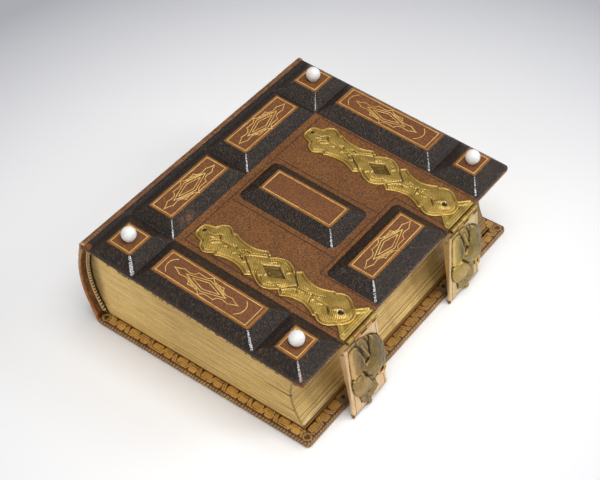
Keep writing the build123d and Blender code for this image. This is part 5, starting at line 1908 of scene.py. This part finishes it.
# hinge plates: pressed tongues with folded triangles beside the strap's end
def hinge_plate(name, node, yh, ys, seed):
    out = [(119.2, 5.6), (124.4, 10.7), (126.85, 10.7), (126.85, -10.7), (124.4, -10.7), (119.2, -5.6)]
    outline = poly_path([(x, v) for x, v in out], 0.4, True)

    def height(P, d):
        x, v = P[:, 0], P[:, 1]
        a = np.abs(v)
        h = np.full(len(P), 0.34)
        # folded rim on the slanted sides
        s1 = seg_dist(P, [(119.2, 5.6), (124.4, 10.7)])
        s2 = seg_dist(P, [(119.2, -5.6), (124.4, -10.7)])
        h += 0.34 * bead_at(np.minimum(s1, s2), 0.48, 0.42)
        # triangle field falls towards the strap and rises to a crease before the barrel
        crease = seg_dist(P, [(121.0, 4.3), (124.3, 7.6)])
        crease2 = seg_dist(P, [(121.0, -4.3), (124.3, -7.6)])
        h += 0.24 * bead_at(np.minimum(crease, crease2), 0.0, 0.9)
        h += 0.30 * bead_at(x, 125.0, 0.5)
        h += 0.20 * bead_at(x, 124.0, 0.45)
        h += 0.20 * np.clip(1 - np.abs((x - 119.2) - (a - 2.6) * 0.75) / 2.4, 0, 1)
        h += 0.22 * smooth01((x - 125.2) / 0.6)
        h += 0.03 * vnoise(np.column_stack([P, np.zeros(len(P))]), 1.6, seed)
        e = np.clip(d / 0.14, 0, 1)
        return h * (0.5 + 0.5 * e)

    V, Q, P2, up, d = relief_patch(outline, 0.24, height, -0.04)
    V = V + (0, yh, 0)
    rel = np.where(up > 0, np.clip((V[:, 2] - 0.12) / 1.05, 0.10, 0.68), 0.3)
    nv0 = len(V)
    # knuckles: rolled tubes
    step = 21.0 / 5
    cxA, czA = W + 1.3, 0.5 - 1.25
    VV, QQ = [V], [Q]
    base = nv0
    R = [rel]
    for i in (0, 2, 4):
        y0, y1 = -10.5 + i * step + 0.08, -10.5 + (i + 1) * step - 0.08
        vk, qk = knuckle(cxA, czA, yh + y0, yh + y1, 1.27, base)
        VV.append(vk)
        QQ.append(qk)
        base += len(vk)
        R.append(np.full(len(vk), 0.3))
    V = np.vstack(VV)
    Q = np.vstack(QQ)
    rel = np.concatenate(R)
    ob = make_mesh(name, cover_to_row(V), Q, None, {"relief": rel, "hatch": np.zeros(len(V)), "hatch_on": np.zeros(len(V))}, "front", [M_HINGE])
    tidy(ob)
    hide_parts(node)


def knuckle(cx, cz, y0, y1, r, base):
    """A closed rolled barrel with rounded ends, about a Y axis through (cx, cz)."""
    k = 28
    L = y1 - y0
    prof = [(0.0, 0.62), (0.0, 0.9), (0.03, 1.0), (0.12, 1.0), (L * 0.5, 1.005), (L - 0.12, 1.0), (L - 0.03, 1.0), (L, 0.9), (L, 0.62)]
    V = []
    for yy, f in prof:
        for i in range(k):
            a = 2 * math.pi * i / k
            rr = r * f * (1.0 if f < 0.95 else (1 - 0.02 * math.exp(-((a - 3.6) / 0.12) ** 2)))
            V.append((cx + rr * math.cos(a), y0 + yy, cz + rr * math.sin(a)))
    Q = grid_quads(len(prof), k, wrap_v=True, base=base)
    ends = []
    for row in (0, len(prof) - 1):
        ids = [base + row * k + i for i in range(k)]
        # close the end with quads across
        h2 = k // 2
        for i in range(h2 - 1):
            ends.append((ids[i], ids[i + 1], ids[(k - i - 2) % k], ids[(k - i - 1) % k]))
    return np.array(V), np.vstack([Q, np.array(ends)])


hinge_plate("hinge_plate_tail_pressed", "hinge_plate_tail", -42.0, -41.5, 101)
hinge_plate("hinge_plate_head_pressed", "hinge_plate_head", 39.4, 40.1, 102)


# ------------------------------------------------------------------ clasps
axis_x, _, axis_z = cover_to_row((W + 1.3, 0, 0.5 - 1.25))


def hang_frame(deg):
    r = math.radians(deg)
    out_d = np.array([math.cos(r), 0, math.sin(r)])
    up_d = np.array([-math.sin(r), 0, math.cos(r)])

    def to_row(P):
        """(Y, s up along the plate, out from the hinge axis) to the row frame."""
        P = np.asarray(P, float)
        return np.array([axis_x, 0, axis_z]) + P[..., 2:3] * out_d + P[..., 1:2] * up_d + P[..., 0:1] * np.array([0, 1.0, 0])

    return to_row


def clasp_plate(name, node, yc, yh, deg, seed):
    to_row = hang_frame(deg)
    t = 0.8
    outer = 1.25
    s_top, s_bot = -1.7, -42.4
    ns = 74
    ss = np.linspace(s_top, s_bot, ns)
    fine_u = [0.868, 0.879, 0.89, 0.90, 0.91, 0.921, 0.932]
    across = sorted(list(np.linspace(-0.84, 0.84, 25)) + fine_u + [-v for v in fine_u] + [0.965, -0.965])
    V, n_sec = [], None
    for s in ss:
        f = (s - s_top) / (s_bot - s_top)
        hw = 11.75 + 1.0 * f
        dep = 2.9 + (0.7 - 2.9) * smooth01(f * 1.0) if s < -4.4 else 0.25
        if s > -6.2:
            dep = 0.3 + (2.9 - 0.3) * float(smooth01((-4.2 - s) / 1.6))
        r = 0.62
        sec = []
        # outer path: flange tip on the tail side, round the fold, across, round the fold, flange tip
        sec.append((-hw, outer - t - dep))
        sec.append((-hw, outer - r - (dep + t - r) * 0.5))
        for a in np.linspace(math.pi, math.pi / 2, 7):
            sec.append((-hw + r + r * math.cos(a), outer - r + r * math.sin(a)))
        for u in across:
            groove = 0.17 * max(0.0, 1 - abs(abs(u) - 0.90) / 0.022) if s < -3 else 0.0
            sec.append((u * (hw - r), outer + 0.03 * (1 - u * u) * math.sin(math.pi * f) - groove))
        for a in np.linspace(math.pi / 2, 0, 7):
            sec.append((hw - r + r * math.cos(a), outer - r + r * math.sin(a)))
        sec.append((hw, outer - r - (dep + t - r) * 0.5))
        sec.append((hw, outer - t - dep))
        n_out = len(sec)
        # inner path back
        ti = t * 0.72
        sec.append((hw - ti, outer - t - dep))
        sec.append((hw - ti, outer - t - 0.1))
        for u in np.linspace(1, -1, 9)[1:-1]:
            sec.append((u * (hw - ti - 0.2), outer - t))
        sec.append((-hw + ti, outer - t - 0.1))
        sec.append((-hw + ti, outer - t - dep))
        n_sec = len(sec)
        V += [(yc + y, s, o) for y, o in sec]
    V = np.array(V)
    Q = grid_quads(ns, n_sec, wrap_v=True)
    # faint dents
    outm = np.clip((V[:, 2] - 0.9) / 0.3, 0, 1)
    V[:, 2] += outm * 0.07 * vnoise(V, 6.0, seed) + outm * 0.025 * vnoise(V, 1.8, seed + 1)
    # the lower edge runs a little uneven
    V[:, 1] += 0.12 * vnoise(V * (1, 0, 0), 3.0, seed + 2) * np.clip((-38 - V[:, 1]) / 4, 0, 1)
    T = []
    for row in (0, ns - 1):
        ids = [row * n_sec + i for i in range(n_sec)]
        T.append(ids)
    me_tris = []
    for ids in T:
        a, b = 0, len(ids) - 1
        tog = True
        # zip the two ends of the section together
        while b - a > 1:
            if tog:
                me_tris.append((ids[a], ids[a + 1], ids[b]))
                a += 1
            else:
                me_tris.append((ids[a], ids[b - 1], ids[b]))
                b -= 1
            n_left_out = n_out - 1 - a
            n_left_in = b - n_out
            tog = n_left_out * 11 > n_left_in * 41 if n_left_in > 0 else True
            if n_left_out <= 0:
                tog = False
    # lip along the lower edge, turned in
    # painted highlight: the plate's outer face and flanges are given a paler tone than its inside
    rel = np.where(np.tile(np.arange(n_sec) < n_out, ns), 0.85, 0.4)
    on_groove = np.abs(np.abs((V[:, 0] - yc) / (11.13 + 1.0 * (V[:, 1] - s_top) / (s_bot - s_top))) - 0.90) < 0.012
    rel = np.where(on_groove & (V[:, 2] > 0.8), 0.1, rel)
    base = len(V)
    lv, lq = [], []
    ny = 40
    prof = [(0.35, 1.20), (0.05, 1.27), (-0.28, 1.10), (-0.42, 0.75), (-0.45, 0.2), (-0.42, -0.6), (-0.25, -0.86), (0.1, -0.9), (0.38, -0.8), (0.42, -0.4), (0.42, 0.5)]
    for i, u in enumerate(np.linspace(-1, 1, ny)):
        for ds, o in prof:
            k = 1 if 0 < i < ny - 1 else 0.8
            lv.append((yc + u * 12.78, s_bot + ds * k + 0.08 * math.sin(u * 9), 0.15 + (o - 0.15) * k))
    lv = np.array(lv)
    lq = grid_quads(ny, len(prof), wrap_v=True, base=base)
    ends = []
    for row in (0, ny - 1):
        ids = [base + row * len(prof) + i for i in range(len(prof))]
        for i in range(1, len(ids) - 1):
            ends.append((ids[0], ids[i], ids[i + 1]))
    VV = [V, lv]
    QQ = [Q, lq]
    R = [rel, np.full(len(lv), 0.12)]
    base += len(lv)
    # tab from the plate to its knuckles
    step = 21.0 / 5
    for i in (1, 3):
        y0, y1 = -10.5 + i * step + 0.08, -10.5 + (i + 1) * step - 0.08
        vk, qk = knuckle(0.0, 0.0, yh + y0, yh + y1, 1.27, base)
        # knuckle() lays its barrel about Y; here its x is outwards and z is up
        vk = np.stack([vk[:, 1], vk[:, 2], vk[:, 0]], -1)
        VV.append(vk)
        QQ.append(qk)
        R.append(np.full(len(vk), 0.2))
        base += len(vk)
        tab = []
        for yy in (yh + y0, yh + y1):
            for s, o in ((0.0, 1.26), (-1.0, 1.27), (-2.6, 1.24), (-2.6, 0.5), (-1.0, 0.5), (0.0, 0.7)):
                tab.append((yy, s, o))
        tab = np.array(tab)
        q = [(base + j, base + (j + 1) % 6, base + 6 + (j + 1) % 6, base + 6 + j) for j in range(6)]
        q += [(base, base + 1, base + 4, base + 5), (base + 1, base + 2, base + 3, base + 4), (base + 6, base + 7, base + 10, base + 11), (base + 7, base + 8, base + 9, base + 10)]
        VV.append(tab)
        QQ.append(np.array(q))
        R.append(np.full(12, 0.6))
        base += 12
    # a worn dark knob at the lower tail-side corner
    k = 14
    kv, kc = [], (yc - 12.7, s_bot - 0.35, 0.75)
    for i, (f, o) in enumerate([(0.35, -0.78), (0.8, -0.5), (1.0, 0.0), (0.85, 0.5), (0.4, 0.8)]):
        for j in range(k):
            a = 2 * math.pi * j / k
            kv.append((kc[0] + 0.85 * f * math.cos(a), kc[1] + 0.75 * f * math.sin(a), kc[2] + 0.85 * o))
    kq = grid_quads(5, k, wrap_v=True, base=base)
    for row in (0, 4):
        ids = [base + row * k + j for j in range(k)]
        for j in range(1, k - 1):
            ends.append((ids[0], ids[j], ids[j + 1]))
    VV.append(np.array(kv))
    QQ.append(kq)
    R.append(np.full(len(kv), 0.02))
    base += len(kv)
    V = np.vstack(VV)
    ob = make_mesh(name, to_row(V), np.vstack(QQ), me_tris + ends, {"relief": np.concatenate(R)}, "clasp_" + name.split("_")[2], [M_PLATE if "tail" in name else M_PLATE_H])
    tidy(ob)
    sharp_by_angle(ob, 50)
    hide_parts(node)


LOBES = [
    # (outline, base, rise, fall distance, kind)
    ([(-9.6, -1.6), (-7.0, -0.6), (-4.6, -1.8), (-3.9, -5.0), (-2.6, -9.0), (-1.5, -13.0), (-1.9, -16.6), (-4.4, -19.2), (-7.6, -19.6), (-10.4, -18.6), (-10.9, -12.0), (-10.5, -5.0)], 0.22, 0.85, "cup"),
    ([(-4.5, 0.6), (-1.6, 0.9), (1.2, -0.3), (3.2, -1.4), (3.6, -4.0), (3.2, -8.0), (3.0, -12.0), (2.6, -15.0), (1.0, -14.5), (-0.5, -12.5), (-1.6, -9.0), (-2.6, -5.5), (-4.2, -2.5)], 0.4, 0.9, "fold"),
    ([(4.0, -2.2), (7.0, -3.6), (10.3, -7.0), (12.2, -11.5), (13.2, -17.5), (13.1, -23.5), (12.2, -27.6), (9.6, -28.6), (6.6, -28.0), (3.4, -28.8), (1.2, -27.4), (-0.6, -24.4), (-2.9, -19.4), (-1.5, -17.0), (0.6, -16.4), (2.7, -14.5), (3.2, -10.0), (3.3, -5.5)], 0.6, 2.0, "dome"),
    ([(-11.2, -19.4), (-8.0, -20.0), (-5.4, -20.6), (-3.6, -19.8), (-2.0, -22.8), (0.1, -26.6), (1.6, -30.6), (1.9, -33.6), (-1.5, -34.6), (-5.6, -34.2), (-8.0, -33.0), (-9.8, -30.6), (-11.2, -26.6), (-11.6, -22.6)], 0.5, 1.5, "dome"),
    ([(-7.6, -31.4), (-7.2, -35.8), (-6.9, -38.6), (-5.6, -39.2), (-4.9, -40.6), (-3.4, -41.0), (-3.0, -42.8), (-1.4, -43.8), (0.0, -42.0), (0.1, -39.9), (1.6, -40.0), (2.6, -39.0), (3.4, -39.4), (4.3, -38.0), (6.2, -38.6), (5.6, -36.6), (4.8, -35.4), (4.6, -33.6), (3.2, -31.6), (0.4, -30.4), (-3.0, -30.2)], 0.45, 0.75, "leaf"),
]
ORN_OUT = [(-9.9, -0.8), (-7.5, 0.3), (-4.5, 0.7), (-1.6, 0.9), (1.2, -0.3), (3.4, -1.5), (7.0, -3.6), (10.3, -7.0), (12.2, -11.5), (13.2, -17.5), (13.1, -23.5), (12.4, -27.4), (12.3, -30.0), (11.2, -32.2), (9.2, -33.0),
           (7.2, -32.0), (5.6, -32.6), (4.6, -33.6), (4.8, -35.4), (5.6, -36.6), (6.2, -38.6), (4.3, -38.0), (3.4, -39.4), (2.6, -39.0), (1.6, -40.0), (0.1, -39.9), (0.0, -42.0), (-1.4, -43.8), (-3.0, -42.8), (-3.4, -41.0),
           (-4.9, -40.6), (-5.6, -39.2), (-6.9, -38.6), (-7.2, -35.8), (-7.7, -33.2), (-9.8, -30.6), (-11.2, -26.6), (-11.4, -22.6), (-10.7, -19.6), (-10.5, -18.0), (-10.5, -12.0), (-10.3, -5.0)]


def clasp_ornament(name, node, rivets, yc, deg, seed, mat, spread=0.0):
    to_row = hang_frame(deg)
    outline = []
    n = len(ORN_OUT)
    outline = poly_path(ORN_OUT, 0.5, True)
    lobes = [(catmull(o, 0.5, True), b, r, k) for o, b, r, k in LOBES]

    def height(P, d):
        h = np.full(len(P), 0.10)
        P3 = np.column_stack([P, np.zeros(len(P))])
        ragged = 0.34 * vnoise(P3, 1.3, seed + 5) + 0.16 * vnoise(P3, 0.5, seed + 6)
        for poly, b, r, kind in lobes:
            sd = sd_poly(P, poly) + ragged
            e = smooth01(sd / 0.62)
            c = poly.mean(0)
            if kind == "dome":
                rise = r * (1 - np.exp(-np.maximum(sd, 0) / 2.3)) / (1 - math.exp(-6.0 / 2.3))
                # fine ribs run down the lobe
                rise = rise + 0.05 * np.sin((P[:, 0] - c[0]) * 2.6 + 0.25 * P[:, 1]) * np.clip(sd / 1.5, 0, 1)
            elif kind == "cup":
                # hollow: its right and lower rims stand up
                far = np.clip((P[:, 0] - (c[0] - 4.2)) / 8.5, 0, 1)
                lowr = np.clip((c[1] + 1 - P[:, 1]) / 11, 0, 1)
                rim = np.exp(-np.maximum(sd, 0) / 1.3)
                rise = 0.15 + r * (0.35 + 0.9 * np.maximum(far, lowr)) * rim + 0.25 * far
                rise = rise + 0.05 * np.sin(P[:, 0] * 2.1 - 0.5 * P[:, 1])
            elif kind == "fold":
                # a folded leaf: bright ridge, then a deep slit on its right
                rg = seg_dist(P, [(-2.2, -3.0), (-0.6, -7.5), (1.4, -12.6)])
                slit = seg_dist(P, [(0.6, -0.6), (2.2, -3.6), (3.0, -7.6), (2.7, -12.6)])
                rise = r * (0.35 + 1.1 * np.clip(1 - rg / 1.15, 0, 1) ** 1.2) - 1.6 * np.clip(1 - slit / 0.75, 0, 1)
            else:
                vein = np.abs(P[:, 0] + 1.6 - 0.12 * (P[:, 1] + 30))
                rise = r * (0.55 + 0.5 * np.clip(1 - vein / 0.8, 0, 1)) + 0.16 * np.sin(P[:, 0] * 1.6 + P[:, 1] * 1.1)
            v = (b + rise) * e
            # the big lobes lie over their neighbours
            h = np.maximum(h, np.where(sd > 0, v, 0))
        # scroll beside the big lobe's tip
        rr = np.hypot(P[:, 0] - 9.3, P[:, 1] + 30.2)
        h = np.where(rr < 3.3, np.where(rr < 1.6, 0.02, np.maximum(h * (rr > 2.0), 0.25 + 0.95 * bead_at(rr, 2.45, 0.75))), h)
        h = h + 0.10 * vnoise(P3, 1.5, seed) + 0.05 * vnoise(P3, 0.6, seed + 1)
        # left of the cup the casting thins out to the plate
        h = np.maximum(h, 0.34 * left_slab(P))
        # rivet cups
        for ry, rs in ((-4.2, -2.9), (-1.4, -34.4)):
            q = np.hypot(P[:, 0] - ry, P[:, 1] - rs)
            cup = smooth01((1.25 - q) / 0.4)
            h = h * (1 - cup) + 0.45 * cup
        e = np.clip(d / 0.2, 0, 1)
        return np.maximum(h, 0.13) * 1.22 * (0.6 + 0.4 * e)

    V, Q, P2, up, d = relief_patch(outline, 0.30, height, -0.12)
    pu = P2[: len(P2) // 2]
    du = d[: len(d) // 2]
    h0 = height(pu, du)
    around = np.zeros(len(pu))
    for a in range(8):
        for rr in (0.55, 1.1):
            q = pu + rr * np.array([math.cos(a * math.pi / 4), math.sin(a * math.pi / 4)])
            around += height(q, np.maximum(du, 0.3)) / 16
    cav = np.clip(0.5 + 0.85 * (h0 - around), 0, 1)
    slab = left_slab(pu)
    cav = np.where(slab > 0.3, np.maximum(cav, 0.5 * slab), cav)
    rel = np.concatenate([cav, np.full(len(cav), 0.2)])
    # one casting sits fuller and lower than the other
    u0, s0 = V[:, 0].copy(), V[:, 1].copy()
    low = smooth01((-s0 - 18) / 14)
    V[:, 0] += spread * low * smooth01((u0 + 9) / 8) * (1 - smooth01((u0 - 4) / 8))
    V[:, 1] -= 0.75 * spread * smooth01((-s0 - 24) / 9) * smooth01(u0 / 8)
    V[:, 1] = -1.95 + (V[:, 1] - 0.9) * (41.85 / 44.7)
    V = V + (yc, 0, 1.25)
    ob = make_mesh(name, to_row(V), Q, None, {"relief": rel, "tone": np.concatenate([lobe_tone(P2[: len(P2) // 2], lobes)] * 2)}, "clasp_" + name.split("_")[2], [mat])
    tidy(ob)
    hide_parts(node)
    # rivets
    RV, RQ, RT = [], [], []
    base = 0
    for ry, rs in ((-4.2, -5.5), (-1.4, -35.0)):
        prof = [(0.95, 0.0), (0.98, 0.55), (0.9, 0.72), (0.62, 0.86), (0.25, 0.9)]
        k = 20
        for r_, o in prof:
            for i in range(k):
                a = 2 * math.pi * i / k
                RV.append((yc + ry + r_ * math.cos(a), rs + r_ * math.sin(a), 1.15 + o))
        RQ.append(grid_quads(len(prof), k, wrap_v=True, base=base))
        c = base + len(prof) * k
        RV.append((yc + ry, rs, 1.15 + 0.88))
        last = base + (len(prof) - 1) * k
        RT += [(last + i, last + (i + 1) % k, c) for i in range(k)]
        # underside
        RT += [(base, base + i + 1, base + i) for i in range(1, k - 1)]
        base = c + 1
    ob = make_mesh(name.replace("ornament", "rivets"), to_row(np.array(RV)), np.vstack(RQ), RT, None, "clasp_" + name.split("_")[2], [M_NAIL])
    tidy(ob)
    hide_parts(rivets)


def left_slab(P):
    """1 where the casting has thinned to a skin left of the cup."""
    return smooth01((-7.9 - P[:, 0]) / 1.6) * smooth01((P[:, 1] + 19.6) / 1.4) * smooth01((-0.9 - P[:, 1]) / 1.2)


def lobe_tone(P, lobes):
    """0..1: how pale the brass is, lobe by lobe, with painted shading across the cup."""
    tone = np.full(len(P), 0.35)
    for (poly, b, r, kind), v in zip(lobes, (0.72, 0.32, 0.26, 0.46, 0.28)):
        sd = sd_poly(P, poly)
        tone = np.where(sd > 0, v, tone)
        if kind == "cup":
            # painted shading across the hollow cup: pale at its left, dark towards its right rim
            tone = np.where(sd > 0, 0.86 - 1.0 * np.clip((P[:, 0] + 9.0) / 6.5, 0, 1) + 0.15 * np.clip((-P[:, 1] - 12) / 8, 0, 1), tone)
        if kind == "dome":
            tone = np.where(sd > 0, tone - 0.25 * np.clip((P[:, 0] - 4) / 8, 0, 1) + 0.18 * np.clip((-P[:, 1] - 18) / 10, 0, 1), tone)
    rr = np.hypot(P[:, 0] - 9.3, P[:, 1] + 30.2)
    tone = np.where(np.abs(rr - 2.4) < 0.9, 0.95, tone)
    return np.maximum(tone, 1.1 * left_slab(P))


clasp_plate("clasp_plate_tail_shell", "clasp_plate_tail", -44.0, -42.0, 6.5, 111)
clasp_plate("clasp_plate_head_shell", "clasp_plate_head", 37.8, 39.4, 3.0, 121)
clasp_ornament("clasp_ornament_tail_relief", "clasp_ornament_tail", "clasp_rivets_tail", -44.0, 6.5, 131, M_DARK)
clasp_ornament("clasp_ornament_head_relief", "clasp_ornament_head", "clasp_rivets_head", 37.8, 3.0, 141, M_DARK_H, 2.6)



# ------------------------------------------------------------------ floor and light
floor_mat = Mat("floor")
# pale paper sweep with painted light falloff: a little darker away from the album and towards the back, and cooler far
# off
fx_, fy_, fz_ = floor_mat.sep(floor_mat.obj_mm())
far2 = floor_mat.add(floor_mat.mul(fx_, fx_), floor_mat.mul(fy_, fy_))
floor_painted_falloff = floor_mat.sub(floor_mat.sub(0.96, floor_mat.mul(far2, 6.2e-6)), floor_mat.mul(fy_, 2.3e-4))
floor_painted_falloff = floor_mat.math("MINIMUM", floor_mat.math("MAXIMUM", floor_painted_falloff, 0.42), 0.965)
floor_painted_cool_tint = floor_mat.lin(far2, 20000.0, 90000.0)
floor_mat.set(color=floor_mat.mix(floor_painted_cool_tint, floor_mat.comb(floor_mat.mul(floor_painted_falloff, 0.985), floor_mat.mul(floor_painted_falloff, 0.99), floor_painted_falloff), floor_mat.comb(floor_mat.mul(floor_painted_falloff, 0.985), floor_painted_falloff, floor_mat.mul(floor_painted_falloff, 1.09))), rough=0.7, spec=0.15)
me = bpy.data.meshes.new("floor")
bm = bmesh.new()
bmesh.ops.create_grid(bm, x_segments=1, y_segments=1, size=3.0)
bm.to_mesh(me)
bm.free()
me.materials.append(floor_mat.mat)
floor = bpy.data.objects.new("floor", me)
bpy.context.scene.collection.objects.link(floor)


def area(name, loc, target, size, power, color=(1, 1, 1)):
    L = bpy.data.lights.new(name, "AREA")
    L.shape = "RECTANGLE"
    L.size, L.size_y = size
    L.energy = power
    L.color = color
    o = bpy.data.objects.new(name, L)
    bpy.context.scene.collection.objects.link(o)
    o.location = loc
    o.rotation_euler = (Vector(target) - Vector(loc)).to_track_quat("-Z", "Y").to_euler()
    return o


area("key", (0.24, -0.02, 1.0), (0.04, -0.02, 0.0), (0.7, 0.7), 6.6, (1.0, 0.985, 0.965))
area("side", (0.75, 0.62, 0.62), (0, 0, 0.03), (0.45, 0.45), 4.0, (0.95, 0.975, 1.0))
area("front", (0.14, -1.1, 0.55), (0.01, 0, 0.02), (0.8, 0.5), 3.4, (1.0, 0.985, 0.96))
world = bpy.data.worlds.new("world")
world.use_nodes = True
wt = world.node_tree
bg = wt.nodes["Background"]
bg.inputs[1].default_value = 0.42
tc = wt.nodes.new("ShaderNodeTexCoord")
dot = wt.nodes.new("ShaderNodeVectorMath")
dot.operation = "DOT_PRODUCT"
dot.inputs[1].default_value = Vector((0.62, 0.45, 0.64)).normalized()
wt.links.new(tc.outputs["Generated"], dot.inputs[0])
mr = wt.nodes.new("ShaderNodeMapRange")
wt.links.new(dot.outputs["Value"], mr.inputs[0])
mr.inputs[1].default_value, mr.inputs[2].default_value = -0.6, 0.95
mx = wt.nodes.new("ShaderNodeMix")
mx.data_type = "RGBA"
wt.links.new(mr.outputs[0], mx.inputs[0])
mx.inputs[6].default_value = (0.66, 0.63, 0.60, 1)
mx.inputs[7].default_value = (1.16, 1.17, 1.20, 1)
wt.links.new(mx.outputs[2], bg.inputs[0])
bpy.context.scene.world = world
bpy.context.scene.view_settings.view_transform = "Standard"
bpy.context.scene.view_settings.look = "None"

# carried-over nodes: materials
for n, mname in {"back_cover": M_LEATHER, "spine": M_LEATHER, "page_block": M_PAPER, "headband_tail": M_THREAD, "headband_head": M_THREAD, "flyleaf_front": M_PAPER, "flyleaf_back": M_PAPER,
                 "pastedown_front": M_PAPER, "pastedown_back": M_PAPER, "strap_nails": M_NAIL, "stud_pins": M_NAIL, "strap_tail": M_STRAP, "strap_head": M_STRAP,
                 "clasp_plate_tail": M_PLATE, "clasp_plate_head": M_PLATE, "hinge_plate_tail": M_PLATE, "hinge_plate_head": M_PLATE, "hinge_pin_tail": M_NAIL, "hinge_pin_head": M_NAIL,
                 "clasp_ornament_tail": M_DARK, "clasp_ornament_head": M_DARK, "clasp_rivets_tail": M_DARK, "clasp_rivets_head": M_DARK, "catch_tail": M_CATCH, "catch_head": M_CATCH, "catch_nails": M_NAIL,
                 "stud_tail_spine": M_STUD, "stud_tail_fore": M_STUD, "stud_head_spine": M_STUD, "stud_head_fore": M_STUD}.items():
    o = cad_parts[n]
    o.data.materials.clear()
    o.data.materials.append(getattr(mname, "mat", mname))
